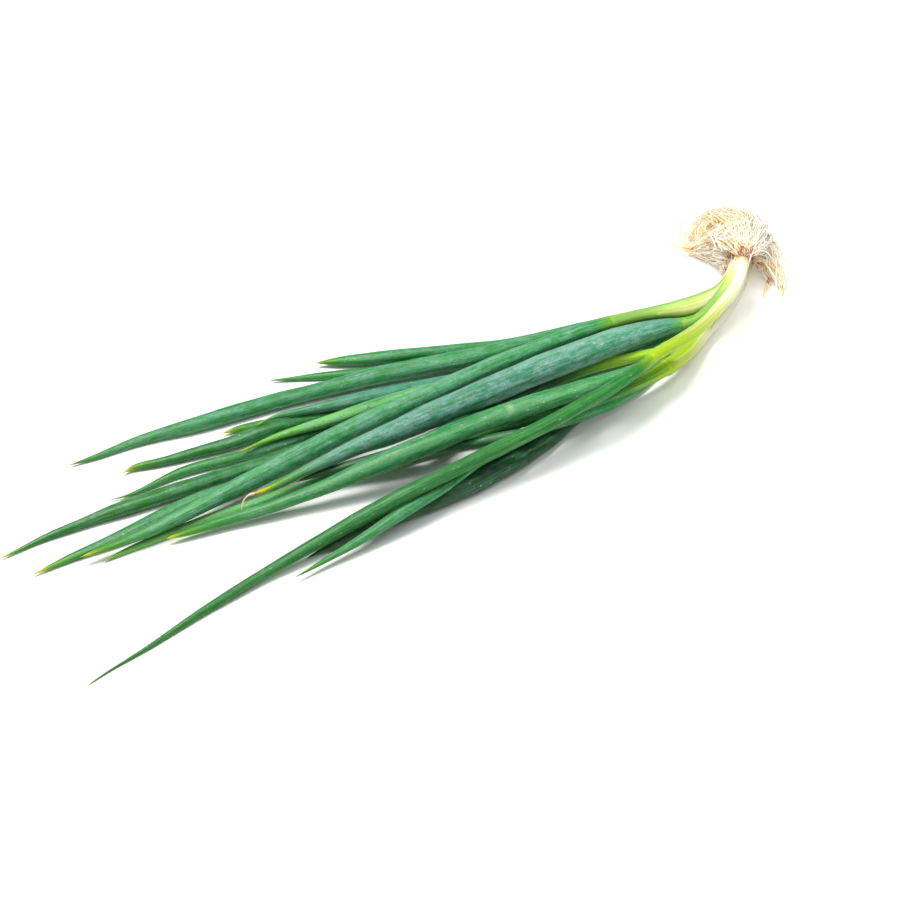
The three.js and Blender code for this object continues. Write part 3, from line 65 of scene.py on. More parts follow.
    "leaf_a2": [(-188.9,-9.3,4.4,0.25), (-183.3,-10.7,4.4,1.36), (-176.6,-11.9,4.5,2.11), (-169.4,-13.3,4.7,2.55), (-162.0,-14.9,4.9,2.87), (-154.4,-16.6,5.3,3.11), (-146.7,-18.6,5.7,3.32), (-138.9,-20.9,6.3,3.62), (-130.9,-23.2,7.0,3.81), (-122.8,-25.2,7.9,3.87), (-114.6,-27.3,9.0,3.95), (-106.3,-29.5,10.2,4.19), (-98.0,-31.7,11.7,4.57), (-89.5,-33.8,13.3,4.84), (-81.0,-35.8,15.1,5.25), (-72.5,-37.8,16.9,5.83), (-64.0,-40.0,18.9,6.31), (-55.3,-42.3,20.4,6.28), (-46.4,-44.1,21.6,6.30), (-37.3,-45.4,22.4,6.36), (-28.1,-46.0,22.6,6.27), (-18.7,-46.5,22.7,6.10), (-9.3,-47.1,23.0,5.94), (0.1,-48.2,23.4,5.87), (9.4,-50.2,23.9,6.31), (18.7,-52.2,24.7,6.42), (28.1,-54.2,25.6,6.32), (37.4,-56.7,26.6,6.26), (46.6,-59.4,27.6,6.07), (56.1,-61.3,27.8,5.84), (65.8,-62.9,27.9,5.60), (75.4,-64.8,28.2,5.24), (85.1,-65.6,27.8,4.83), (95.0,-66.2,27.1,4.36), (104.9,-66.0,26.6,3.85), (114.7,-64.3,26.2,3.44), (124.5,-62.2,26.0,3.09), (134.4,-60.8,26.5,1.35)],
    "leaf_e1": [(-134.0,-14.3,13.3,0.25), (-128.9,-16.3,13.5,1.99), (-121.9,-16.7,13.8,2.57), (-114.5,-16.9,14.3,2.88), (-106.8,-17.0,15.0,3.04), (-98.9,-17.4,15.8,3.32), (-90.8,-18.2,16.7,3.72), (-82.6,-19.0,17.6,4.32), (-74.7,-18.3,17.1,4.81), (-66.1,-17.6,16.6,5.20), (-57.4,-17.6,16.3,5.84), (-48.6,-18.1,16.0,6.60), (-39.7,-18.3,15.9,6.98), (-30.6,-18.6,16.0,7.28), (-21.6,-19.0,16.3,7.58), (-12.4,-19.8,16.7,7.84), (-3.3,-20.7,17.4,7.93), (6.0,-21.7,18.1,7.97), (15.1,-23.1,19.3,8.46), (24.6,-23.3,19.1,8.80), (34.1,-23.6,19.1,8.90), (43.6,-23.9,19.1,8.89), (53.2,-24.1,19.0,8.98), (62.9,-24.3,19.1,9.18), (72.6,-25.3,19.1,9.20), (82.3,-26.3,19.2,9.06), (92.1,-27.3,19.3,8.91), (101.9,-28.2,19.4,8.96), (111.7,-29.6,19.7,8.87), (121.6,-30.4,19.2,8.46), (131.5,-31.6,18.9,7.59), (141.4,-33.0,18.8,6.54), (151.3,-35.1,18.8,5.10), (160.5,-39.2,19.1,3.25), (170.2,-41.5,19.6,3.43)],
    "stem_e": [(159.1,-38.6,19.1,3.50), (163.7,-40.6,19.3,2.93), (168.7,-41.5,19.5,3.27), (173.7,-41.3,19.8,3.67), (178.5,-40.2,20.1,3.79), (183.3,-38.7,20.3,3.85), (188.0,-36.9,20.6,3.88), (192.5,-34.8,20.9,3.89), (197.0,-32.7,21.3,3.88), (201.4,-30.3,21.4,3.88), (205.8,-27.8,21.3,3.86), (210.0,-25.1,21.3,3.82), (214.2,-22.3,21.2,3.79), (218.3,-19.4,21.2,3.75), (222.4,-16.5,21.2,3.71), (226.5,-13.6,21.2,3.65), (230.5,-10.6,21.2,3.58), (234.3,-7.4,21.2,3.51)],
    "leaf_a1": [(-280.6,-81.3,0.6,0.25), (-274.9,-80.3,0.6,0.42), (-268.3,-79.0,0.7,0.54), (-261.2,-78.2,0.7,0.69), (-253.8,-77.4,0.8,0.92), (-246.2,-76.6,1.0,1.20), (-238.4,-75.7,1.1,1.47), (-230.5,-74.4,1.3,1.68), (-222.4,-73.1,1.5,1.91), (-214.2,-71.7,1.7,2.21), (-205.9,-70.4,1.9,2.47), (-197.5,-69.4,2.2,2.68), (-189.0,-68.5,2.6,2.84), (-180.3,-67.6,3.0,3.02), (-171.6,-66.8,3.5,3.09), (-162.8,-66.1,4.1,3.04), (-154.0,-65.7,4.8,3.31), (-145.0,-65.5,5.7,3.52), (-136.0,-65.4,6.7,3.69), (-127.0,-65.5,7.8,3.86), (-117.9,-65.7,9.1,4.08), (-108.8,-65.9,10.5,4.38), (-99.7,-66.5,12.1,4.73), (-90.6,-67.3,13.8,4.79), (-81.5,-68.3,15.6,4.67), (-72.3,-69.3,17.5,4.52), (-63.6,-70.5,19.3,4.55), (-54.2,-71.2,20.1,4.53), (-44.7,-71.9,21.0,4.34), (-35.2,-72.2,21.6,4.32), (-25.6,-72.5,22.2,4.44), (-15.9,-72.8,22.9,4.61), (-6.3,-73.2,23.6,4.54), (3.4,-73.9,24.3,4.53), (13.1,-74.5,25.2,4.52), (22.9,-75.0,26.0,4.48), (32.7,-75.3,27.0,4.34), (42.5,-75.3,28.0,4.28), (52.4,-75.3,29.0,4.31), (62.2,-75.8,30.1,4.31), (72.1,-75.7,31.3,4.26), (82.0,-74.8,32.2,4.09), (91.9,-73.4,32.7,3.89), (101.7,-71.5,32.7,3.51), (111.2,-68.1,32.6,3.49), (121.0,-65.9,32.3,3.91)],
    "stem_a": [(110.1,-68.6,32.6,3.39), (114.8,-66.8,32.7,3.87), (119.7,-66.0,32.4,3.94), (124.7,-65.5,32.0,3.84), (129.6,-64.6,31.4,3.80), (134.5,-63.6,31.0,3.76), (139.4,-62.6,30.6,3.73), (144.3,-61.6,30.2,3.71), (149.2,-60.6,29.8,3.72), (154.1,-59.3,29.5,3.70), (158.9,-57.8,29.2,3.59), (163.6,-56.1,28.9,3.45), (168.2,-54.2,28.7,3.38), (172.8,-52.3,28.5,3.40), (177.5,-50.3,28.4,3.48), (182.1,-48.3,28.2,3.59), (186.7,-46.3,28.1,3.68), (191.3,-44.3,28.0,3.76), (195.8,-42.1,28.0,3.78), (200.2,-39.7,27.9,3.75), (204.5,-37.0,27.9,3.72), (208.5,-34.0,27.9,3.75), (212.3,-30.8,27.9,3.83), (216.1,-27.4,27.9,3.86), (219.6,-23.8,27.9,3.80), (223.1,-20.2,28.0,3.76)],
}

# Guide lines of the bundles of rootlets: plant, number of rootlets, points with the bundle's radius from the crown outwards.
LOCKS = [
    ("a", 44, [(227.8,-14.9,26.0,2.6), (231.6,-3.4,30.0,4.2), (239.1,15.8,29.0,4.6), (243.6,33.4,25.0,4.8), (239.0,39.2,19.0,4.6), (232.6,39.8,12.0,4.0), (229.6,39.4,2.6,2.0)]),
    ("a", 38, [(227.3,-14.6,26.0,2.6), (235.7,-0.6,30.5,4.2), (245.7,19.6,28.0,4.4), (248.6,35.2,23.5,4.4), (246.5,43.7,15.0,3.8), (241.7,44.2,5.0,2.4)]),
    ("a", 36, [(228.3,-15.3,26.0,2.6), (236.8,-4.9,31.0,4.2), (250.4,12.6,28.5,4.4), (255.8,28.2,24.5,4.2), (256.4,39.9,17.0,3.4), (252.9,42.6,6.0,2.2)]),
    ("a", 36, [(229.3,-16.0,26.0,2.6), (239.6,-8.3,31.0,4.2), (255.8,8.2,28.0,4.4), (263.8,22.8,23.5,4.0), (266.5,33.7,14.0,3.2), (262.1,33.5,5.0,2.2)]),
    ("a", 34, [(229.6,-16.7,25.5,2.6), (240.8,-12.8,30.0,4.2), (257.4,0.2,26.5,4.2), (270.0,13.9,19.0,3.6), (274.1,22.3,8.0,2.6)]),
    ("a", 32, [(227.3,-13.7,25.5,2.6), (228.0,-4.0,28.0,4.0), (230.9,11.7,25.5,4.2), (232.6,24.7,19.0,4.2), (230.7,30.6,11.0,3.4), (228.4,33.1,2.8,2.0)]),
    ("a", 30, [(229.9,-17.3,25.0,2.6), (240.0,-15.8,27.5,3.8), (256.3,-7.3,22.0,3.8), (270.4,5.1,13.0,3.2), (274.5,10.7,5.0,2.2)]),
    ("c", 36, [(250.0,-1.6,7.5,2.4), (252.4,-7.1,12.0,3.6), (254.1,-12.8,11.5,3.8), (252.7,-20.5,8.0,3.4), (250.6,-28.2,2.6,2.0)]),
    ("c", 32, [(250.3,-1.3,8.0,2.4), (254.7,-5.1,14.5,3.6), (260.3,-7.4,13.5,3.8), (258.2,-15.0,9.5,3.4), (254.7,-23.4,5.0,2.8), (248.4,-32.8,1.6,1.4)]),
    ("c", 26, [(250.1,-2.6,6.5,2.2), (251.1,-8.2,6.2,3.2), (250.4,-14.9,5.0,3.0), (248.4,-20.3,2.0,1.8)]),
    ("c", 28, [(250.5,-0.1,8.0,2.4), (261.3,1.2,12.0,3.4), (269.9,3.0,9.0,3.4), (267.4,-6.1,4.4,3.0), (260.1,-18.5,2.2,2.0)]),
    ("b", 36, [(235.9,1.8,13.0,2.4), (233.9,7.4,16.0,3.8), (232.3,17.9,13.0,4.0), (230.2,26.8,8.0,3.8), (227.4,32.8,2.6,2.2)]),
    ("b", 26, [(235.7,1.5,12.5,2.4), (231.1,3.0,13.5,3.4), (230.7,10.7,8.5,3.4), (230.8,19.1,2.8,2.2)]),
    ("b", 26, [(235.5,1.2,12.0,2.4), (230.8,0.4,10.5,3.2), (229.3,4.0,6.0,2.8), (229.6,3.0,1.8,1.6)]),
    ("b", 30, [(236.1,2.1,13.5,2.4), (237.1,14.0,15.5,3.6), (237.8,28.2,11.0,3.6), (234.6,34.7,5.5,2.8), (230.8,36.8,2.0,1.6)]),
    ("e", 30, [(236.9,-4.1,19.0,2.4), (246.5,13.6,16.5,3.6), (252.7,32.0,10.5,3.8), (253.6,44.4,5.5,3.2), (248.2,47.6,2.0,1.6)]),
    ("e", 30, [(238.7,-4.0,19.0,2.4), (254.2,7.1,17.0,3.6), (269.9,17.6,10.0,3.6), (278.4,27.7,3.2,2.4)]),
    ("e", 30, [(238.6,-3.1,18.5,2.4), (252.0,14.0,15.5,3.8), (263.7,30.8,9.0,3.6), (269.7,44.2,3.0,2.2)]),
    ("e", 26, [(239.4,-4.1,18.0,2.4), (256.2,2.4,15.0,3.4), (269.2,9.0,9.0,3.2), (273.5,10.2,2.6,1.8)]),
    ("w", 3, [(228.1,30.0,7.0,0.7), (223.5,32.4,6.0,0.7), (222.3,36.0,6.0,0.6), (220.8,42.0,5.5,0.5), (221.7,50.1,6.0,0.3)]),
    ("w", 2, [(227.8,30.6,6.0,0.7), (223.5,33.2,4.0,0.6), (222.0,37.3,3.0,0.5), (219.4,40.1,2.5,0.3)]),
    ("w", 2, [(227.5,31.4,8.0,0.6), (224.3,35.5,7.0,0.5), (227.5,42.4,8.0,0.4), (236.0,53.7,9.0,0.3), (247.3,62.2,9.0,0.2)]),
    ("w", 3, [(246.2,-20.8,4.0,0.8), (241.4,-24.4,3.5,0.7), (237.7,-27.8,2.5,0.6), (232.4,-32.2,1.2,0.4)]),
    ("w", 3, [(249.1,-30.8,4.0,1.0), (246.8,-35.3,3.0,0.9), (243.8,-37.9,2.0,0.7), (239.0,-39.7,1.2,0.5)]),
]

CAMERA = (-730.65, -1025.51, 1008.61)  # millimetres
LOOK = (0.453615, 0.624347, -0.635944)
CAM_UP = (0.373798, 0.514489, 0.771736)

def srgb(r, g, b):
    c = np.array([r, g, b], float) / 255
    return np.where(c <= 0.04045, c / 12.92, ((c + 0.055) / 1.055) ** 2.4)


def smooth(a, sigma):
    if sigma <= 0:
        return a
    n = int(min(max(1, round(3 * sigma)), len(a) - 1))
    k = np.exp(-0.5 * (np.arange(-n, n + 1) / sigma) ** 2)
    k /= k.sum()
    flat = a.reshape(len(a), -1)
    # the ends continue in a straight line, so that they stay where they are
    head = 2 * flat[:1] - flat[1 : n + 1][::-1]
    tail = 2 * flat[-1:] - flat[-n - 1 : -1][::-1]
    full = np.vstack([head, flat, tail])
    made = np.stack([np.convolve(full[:, c], k, "valid") for c in range(full.shape[1])], 1)
    return made.reshape(a.shape)


def step01(x, a, b):
    t = np.clip((x - a) / (b - a), 0, 1)
    return t * t * (3 - 2 * t)


def wave(seed, x, scale, octaves=3):
    """Smooth one-dimensional noise, about -1 to 1."""
    r = np.random.default_rng(seed)
    made = np.zeros_like(x, float)
    for o in range(octaves):
        f = 2**o / scale
        for _ in range(3):
            made += np.sin(x * f * 2 * np.pi * r.uniform(0.6, 1.4) + r.uniform(0, 6.28)) / 3 / 1.7**o
    return made / 1.3


def centre_line(points, gap, sigma=4.0):
    p = np.array(points, float)
    s = np.r_[0, np.cumsum(np.linalg.norm(np.diff(p[:, :3], axis=0), axis=1))]
    n = int(s[-1] / gap) + 1
    t = np.linspace(0, s[-1], n)
    q = np.stack([np.interp(t, s, p[:, c]) for c in range(4)], 1)
    return smooth(q, sigma / gap), t


def frames(line):
    tangent = np.gradient(line[:, :3], axis=0)
    tangent /= np.linalg.norm(tangent, axis=1, keepdims=True)
    side = np.cross([0, 0, 1.0], tangent)
    side /= np.linalg.norm(side, axis=1, keepdims=True)
    return tangent, side, np.cross(tangent, side)


class Piece:
    """Gathers vertices, faces and per-vertex values of one mesh."""

    def __init__(self):
        self.v, self.f, self.tint, self.grain, self.wax = [], [], [], [], []
        self.n = 0

    def add(self, v, f, tint, grain, wax):
        self.v.append(v)
        self.f.extend([tuple(i + self.n for i in q) for q in f])
        self.tint.append(tint)
        self.grain.append(grain)
        self.wax.append(wax)
        self.n += len(v)

    def build(self, name, material):
        mesh = bpy.data.meshes.new(name)
        mesh.from_pydata((np.vstack(self.v) * MM).tolist(), [], self.f)
        mesh.validate()
        mesh.polygons.foreach_set("use_smooth", [True] * len(mesh.polygons))
        for key, kind, data in (
            ("tint", "FLOAT_COLOR", np.column_stack([np.vstack(self.tint), np.ones(self.n)])),
            ("grain", "FLOAT_VECTOR", np.vstack(self.grain)),
            ("wax", "FLOAT", np.concatenate(self.wax)),
        ):
            a = mesh.attributes.new(key, kind, "POINT")
            a.data.foreach_set("color" if kind == "FLOAT_COLOR" else "vector" if kind == "FLOAT_VECTOR" else "value", np.ascontiguousarray(data, np.float32).ravel())
        o = bpy.data.objects.new(name, mesh)
        bpy.context.scene.collection.objects.link(o)
        o.data.materials.append(material)
        return o


def tube(piece, line, sides, shape, paint, start=0.0, seed=0, close=(True, True), turn=0.0):
    """Adds a tube. shape(s, phi) scales the section, paint(s, phi) gives colour and wax. Lengths are in millimetres."""
    m = len(line)
    tangent, side, rise = frames(line)
    s = np.r_[0, np.cumsum(np.linalg.norm(np.diff(line[:, :3], axis=0), axis=1))] + start
    phi = np.arange(sides) / sides * 2 * np.pi
    S, P = np.meshgrid(s, phi, indexing="ij")
    k, lift = shape(S, P)
    w = line[:, 3][:, None] * k
    ca, sa = np.cos(P + turn), np.sin(P + turn)
    v = (
        line[:, None, :3]
        + side[:, None, :] * (w * ca)[..., None]
        + rise[:, None, :] * (w * FLATNESS * sa + lift)[..., None]
    )
    # nothing goes below the surface that the bunch lies on
    v[..., 2] = np.maximum(v[..., 2], 0.05)
    tint, wax = paint(S, P)
    mean = float(np.median(line[:, 3]))
    grain = np.stack([np.cos(P) * mean, np.sin(P) * mean, S + seed * 137.0], -1)
    f = []
    for i in range(m - 1):
        a, b = i * sides, (i + 1) * sides
        for j in range(sides):
            j2 = (j + 1) % sides
            f.append((a + j, a + j2, b + j2, b + j))
    V = v.reshape(-1, 3)
    T = tint.reshape(-1, 3)
    G = grain.reshape(-1, 3)
    W = wax.reshape(-1)
    for end, row, flag in ((0, 0, close[0]), (1, m - 1, close[1])):
        if not flag:
            continue
        c = len(V)
        direction = -tangent[0] if end == 0 else tangent[-1]
        V = np.vstack([V, v[row].mean(0) + direction * line[row, 3] * 0.25])
        T = np.vstack([T, tint[row].mean(0)])
        G = np.vstack([G, [0, 0, s[row]]])
        W = np.r_[W, wax[row].mean()]
        o = row * sides
        for j in range(sides):
            j2 = (j + 1) % sides
            f.append((o + j2, o + j, c) if end == 0 else (o + j, o + j2, c))
    piece.add(V, f, T, G, W)


# ---------------------------------------------------------------- materials
def new_material(name):
    m = bpy.data.materials.new(name)
    m.use_nodes = True
    nt = m.node_tree
    nt.nodes.clear()
    out = nt.nodes.new("ShaderNodeOutputMaterial")
    b = nt.nodes.new("ShaderNodeBsdfPrincipled")
    nt.links.new(b.outputs[0], out.inputs[0])
    return m, nt, b


def node(nt, kind, **values):
    n = nt.nodes.new(kind)
    for k, v in values.items():
        if k.startswith("in_"):
            n.inputs[int(k[3:]) if k[3:].isdigit() else k[3:].replace("_", " ")].default_value = v
        else:
            setattr(n, k, v)
    return n


def attr(nt, name):
    return node(nt, "ShaderNodeAttribute", attribute_name=name)


def scaled(nt, vector, xyz):
    n = node(nt, "ShaderNodeVectorMath", operation="MULTIPLY")
    nt.links.new(vector, n.inputs[0])
    n.inputs[1].default_value = xyz
    return n.outputs[0]


def noise_tex(nt, vector, scale, detail=3, rough=0.55):
    n = node(nt, "ShaderNodeTexNoise")
    n.inputs["Scale"].default_value = scale
    n.inputs["Detail"].default_value = detail
    n.inputs["Roughness"].default_value = rough
    nt.links.new(vector, n.inputs["Vector"])
    return n.outputs["Fac"]


def ramp(nt, value, lo, hi, to_lo=0.0, to_hi=1.0):
    n = node(nt, "ShaderNodeMapRange", interpolation_type="SMOOTHSTEP")
    nt.links.new(value, n.inputs["Value"])
    for key, x in (("From Min", lo), ("From Max", hi), ("To Min", to_lo), ("To Max", to_hi)):
        n.inputs[key].default_value = x
    return n.outputs["Result"]


def maths(nt, op, a, b=None):
    n = node(nt, "ShaderNodeMath", operation=op)
    for i, x in enumerate((a, b)):
        if x is None:
            continue
        if isinstance(x, (int, float)):
            n.inputs[i].default_value = x
        else:
            nt.links.new(x, n.inputs[i])
    return n.outputs[0]


def blend_colour(nt, fac, a, b, mode="MIX"):
    n = node(nt, "ShaderNodeMix", data_type="RGBA", blend_type=mode)
    if isinstance(fac, (int, float)):
        n.inputs[0].default_value = fac
    else:
        nt.links.new(fac, n.inputs[0])
    for i, x in ((6, a), (7, b)):
        if isinstance(x, tuple):
            n.inputs[i].default_value = (*x, 1)
        else:
            nt.links.new(x, n.inputs[i])
    return n.outputs[2]


def leaf_material(name, streak=0.5, bloom=(0.30, 0.45, 0.42), rough=0.36, spots=0.6):
    m, nt, b = new_material(name)
    tint = attr(nt, "tint").outputs["Color"]
    grain = attr(nt, "grain").outputs["Vector"]
    wax = attr(nt, "wax").outputs["Fac"]
    veins = noise_tex(nt, scaled(nt, grain, (1.45, 1.45, 0.022)), 1.0, 3, 0.66)
    bands = noise_tex(nt, scaled(nt, grain, (0.50, 0.50, 0.011)), 1.0, 3, 0.55)
    cloud = noise_tex(nt, scaled(nt, grain, (0.32, 0.32, 0.11)), 1.0, 6, 0.70)
    fleck = noise_tex(nt, scaled(nt, grain, (1.25, 1.25, 0.50)), 1.0, 4, 0.74)
    scuff = noise_tex(nt, scaled(nt, grain, (0.85, 0.85, 0.11)), 1.0, 4, 0.7)
    # the pale base of a leaf is smoother than its green part
    split = node(nt, "ShaderNodeSeparateColor")
    nt.links.new(tint, split.inputs[0])
    green = ramp(nt, split.outputs[0], 0.16, 0.42, 1.0, 0.22)
    # veins: fine dark and light lines along the leaf, and broader bands of deeper green
    c = blend_colour(nt, maths(nt, "MULTIPLY", ramp(nt, bands, 0.48, 0.68, 0, 0.9 * streak), green), tint, (0.020, 0.13, 0.026))
    c = blend_colour(nt, maths(nt, "MULTIPLY", ramp(nt, veins, 0.50, 0.66, 0, 0.95 * streak), green), c, (0.014, 0.10, 0.020))
    c = blend_colour(nt, ramp(nt, veins, 0.47, 0.34, 0, 0.50 * streak), c, (0.22, 0.50, 0.20))
    # the waxy bloom lies in clouds and is rubbed off in flecks
    frost = noise_tex(nt, scaled(nt, grain, (2.4, 2.4, 1.3)), 1.0, 3, 0.78)
    cover = maths(nt, "MULTIPLY", ramp(nt, cloud, 0.38, 0.60), ramp(nt, frost, 0.40, 0.57, 0.30, 1.0))
    cover = maths(nt, "MULTIPLY", cover, ramp(nt, veins, 0.60, 0.45, 0.55, 1.0))
    cover = maths(nt, "MULTIPLY", cover, wax)
    c = blend_colour(nt, cover, c, bloom)
    # dark pores, rubbed scuffs and pale dots
    c = blend_colour(nt, maths(nt, "MULTIPLY", ramp(nt, fleck, 0.56, 0.66, 0, 0.66), green), c, (0.012, 0.075, 0.020))
    c = blend_colour(nt, maths(nt, "MULTIPLY", ramp(nt, scuff, 0.59, 0.69, 0, 0.60), green), c, (0.020, 0.11, 0.020))
    v = node(nt, "ShaderNodeTexVoronoi", feature="F1")
    v.inputs["Scale"].default_value = 1.0
    nt.links.new(scaled(nt, grain, (0.42, 0.42, 0.20)), v.inputs["Vector"])
    dots = maths(nt, "MULTIPLY", ramp(nt, v.outputs["Distance"], 0.08, 0.19, spots, 0.0), ramp(nt, cloud, 0.50, 0.58))
    c = blend_colour(nt, dots, c, (0.42, 0.62, 0.34))
    nt.links.new(c, b.inputs["Base Color"])
    r = maths(nt, "ADD", ramp(nt, fleck, 0.3, 0.7, rough - 0.08, rough + 0.12), maths(nt, "MULTIPLY", cover, 0.22))
    nt.links.new(r, b.inputs["Roughness"])
    b.inputs["Subsurface Weight"].default_value = 0.04
    b.inputs["Subsurface Radius"].default_value = (0.5, 1.0, 0.25)
    b.inputs["Subsurface Scale"].default_value = 0.0012
    b.inputs["Specular IOR Level"].default_value = 0.32
    bump = node(nt, "ShaderNodeBump")
    bump.inputs["Strength"].default_value = 0.5
    bump.inputs["Distance"].default_value = 0.00022
    height = maths(nt, "ADD", maths(nt, "MULTIPLY", veins, 1.2), maths(nt, "MULTIPLY", fleck, 0.7))
    nt.links.new(height, bump.inputs["Height"])
    nt.links.new(bump.outputs[0], b.inputs["Normal"])
    return m


def stem_material(name):
    m, nt, b = new_material(name)
    tint = attr(nt, "tint").outputs["Color"]
    grain = attr(nt, "grain").outputs["Vector"]
    wax = attr(nt, "wax").outputs["Fac"]
    lines = noise_tex(nt, scaled(nt, grain, (2.2, 2.2, 0.03)), 1.0, 3, 0.6)
    broad = noise_tex(nt, scaled(nt, grain, (0.7, 0.7, 0.014)), 1.0, 2, 0.5)
    fleck = noise_tex(nt, scaled(nt, grain, (1.2, 1.2, 0.4)), 1.0, 3, 0.6)
    c = blend_colour(nt, maths(nt, "MULTIPLY", ramp(nt, lines, 0.50, 0.74, 0, 0.26), wax), tint, (0.93, 0.92, 0.66))
    c = blend_colour(nt, ramp(nt, broad, 0.42, 0.7, 0, 0.32), c, (0.42, 0.55, 0.10))
    c = blend_colour(nt, ramp(nt, fleck, 0.62, 0.75, 0, 0.14), c, (0.55, 0.45, 0.22))
    c = blend_colour(nt, 0.35, c, tint)
    nt.links.new(c, b.inputs["Base Color"])
    nt.links.new(ramp(nt, fleck, 0.3, 0.7, 0.38, 0.50), b.inputs["Roughness"])
    b.inputs["Specular IOR Level"].default_value = 0.28
    b.inputs["Subsurface Weight"].default_value = 0.22
    b.inputs["Subsurface Radius"].default_value = (1.0, 0.9, 0.4)
    b.inputs["Subsurface Scale"].default_value = 0.0025
    bump = node(nt, "ShaderNodeBump")
    bump.inputs["Strength"].default_value = 0.4
    bump.inputs["Distance"].default_value = 0.0003
    nt.links.new(lines, bump.inputs["Height"])
    nt.links.new(bump.outputs[0], b.inputs["Normal"])
    return m


def root_material(name):
    m, nt, b = new_material(name)
    tint = attr(nt, "tint").outputs["Color"]
    grain = attr(nt, "grain").outputs["Vector"]
    fleck = noise_tex(nt, scaled(nt, grain, (1.0, 1.0, 0.5)), 1.0, 3, 0.6)
    c = blend_colour(nt, ramp(nt, fleck, 0.50, 0.78, 0, 0.22), tint, (0.80, 0.56, 0.26))
    nt.links.new(c, b.inputs["Base Color"])
    nt.links.new(ramp(nt, fleck, 0.3, 0.7, 0.62, 0.85), b.inputs["Roughness"])
    b.inputs["Subsurface Weight"].default_value = 0.6
    b.inputs["Subsurface Radius"].default_value = (1.0, 0.9, 0.7)
    b.inputs["Subsurface Scale"].default_value = 0.0012
    bump = node(nt, "ShaderNodeBump")
    bump.inputs["Strength"].default_value = 0.5
    bump.inputs["Distance"].default_value = 0.0001
    nt.links.new(fleck, bump.inputs["Height"])
    nt.links.new(bump.outputs[0], b.inputs["Normal"])
    return m


MAT = {
    "leaf_a": leaf_material("leaf_a_skin", bloom=(0.16, 0.38, 0.22)),
    "leaf_b": leaf_material("leaf_b_skin", bloom=(0.20, 0.42, 0.34)),
    "leaf_c": leaf_material("leaf_c_skin", bloom=(0.17, 0.38, 0.28)),
    "leaf_e": leaf_material("leaf_e_skin", bloom=(0.24, 0.40, 0.38)),
    "stem": stem_material("stem_skin"),
    "roots": root_material("rootlet_skin"),
}

# ---------------------------------------------------------------- leaves
GREEN = srgb(76, 146, 88)
LIME = srgb(176, 214, 20)
SOFT_LIME = srgb(135, 192, 82)
DULL_LIME = srgb(105, 150, 50)
YELLOW = srgb(226, 204, 36)
BROWN = srgb(150, 105, 50)
# the greens of the bunch; dark is painted shade for the leaves that lie in deep shadow under the others
GREENS = {
    "bloom": srgb(70, 130, 105),  # blue-green under a thick bloom
    "fresh": srgb(60, 130, 75),
    "deep": srgb(45, 110, 50),
    "pale": srgb(110, 175, 110),
    # painted shade, not a green of the leaf itself
    "dark": srgb(25, 60, 35),
}
# per leaf: its green, wax, length of the yellow tip in mm, yellow strength
LOOKS = {
    "leaf_a1": ("deep", 0.25, 5, 0.5),
    "leaf_a2": ("fresh", 0.60, 7, 1.0),
    "leaf_b1": ("fresh", 0.75, 8, 1.0),
    "leaf_b2": ("fresh", 0.60, 4, 0.5),
    "leaf_b3": ("fresh", 0.50, 4, 0.6),
    "leaf_b4": ("fresh", 0.30, 3, 0.2),
    "leaf_b5": ("bloom", 0.50, 4, 0.8),
    "leaf_b6": ("fresh", 0.30, 6, 0.9),
    "leaf_b7": ("deep", 0.35, 5, 1.0),
    "leaf_e1": ("bloom", 1.00, 9, 1.0),
    "leaf_e2": ("deep", 0.30, 5, 1.0),
    "leaf_e3": ("fresh", 0.35, 4, 0.5),
    "leaf_e4": ("pale", 0.45, 7, 0.9),
    "leaf_e5": ("fresh", 0.40, 8, 1.0),
    "leaf_c1": ("deep", 0.30, 3, 0.2),
    "leaf_c2": ("fresh", 0.60, 4, 0.6),
    "leaf_c3": ("pale", 0.30, 4, 0.6),
    # leaf_c4 and leaf_c5: their dark green is painted shade, as they lie in deep shadow under the others
    "leaf_c4": ("dark", 0.25, 3, 0.1),
    "leaf_c5": ("dark", 0.20, 4, 0.3),
}


# where a leaf is a little fuller: mm from the tip, reach, share
NUDGE = 0.7
FULLER = {"leaf_c5": (112, 50, 0.40), "leaf_e1": (118, 34, 0.09), "leaf_a2": (172, 26, 0.07), "leaf_c3": (250, 40, 0.12), "leaf_c1": (75, 40, 0.10)}


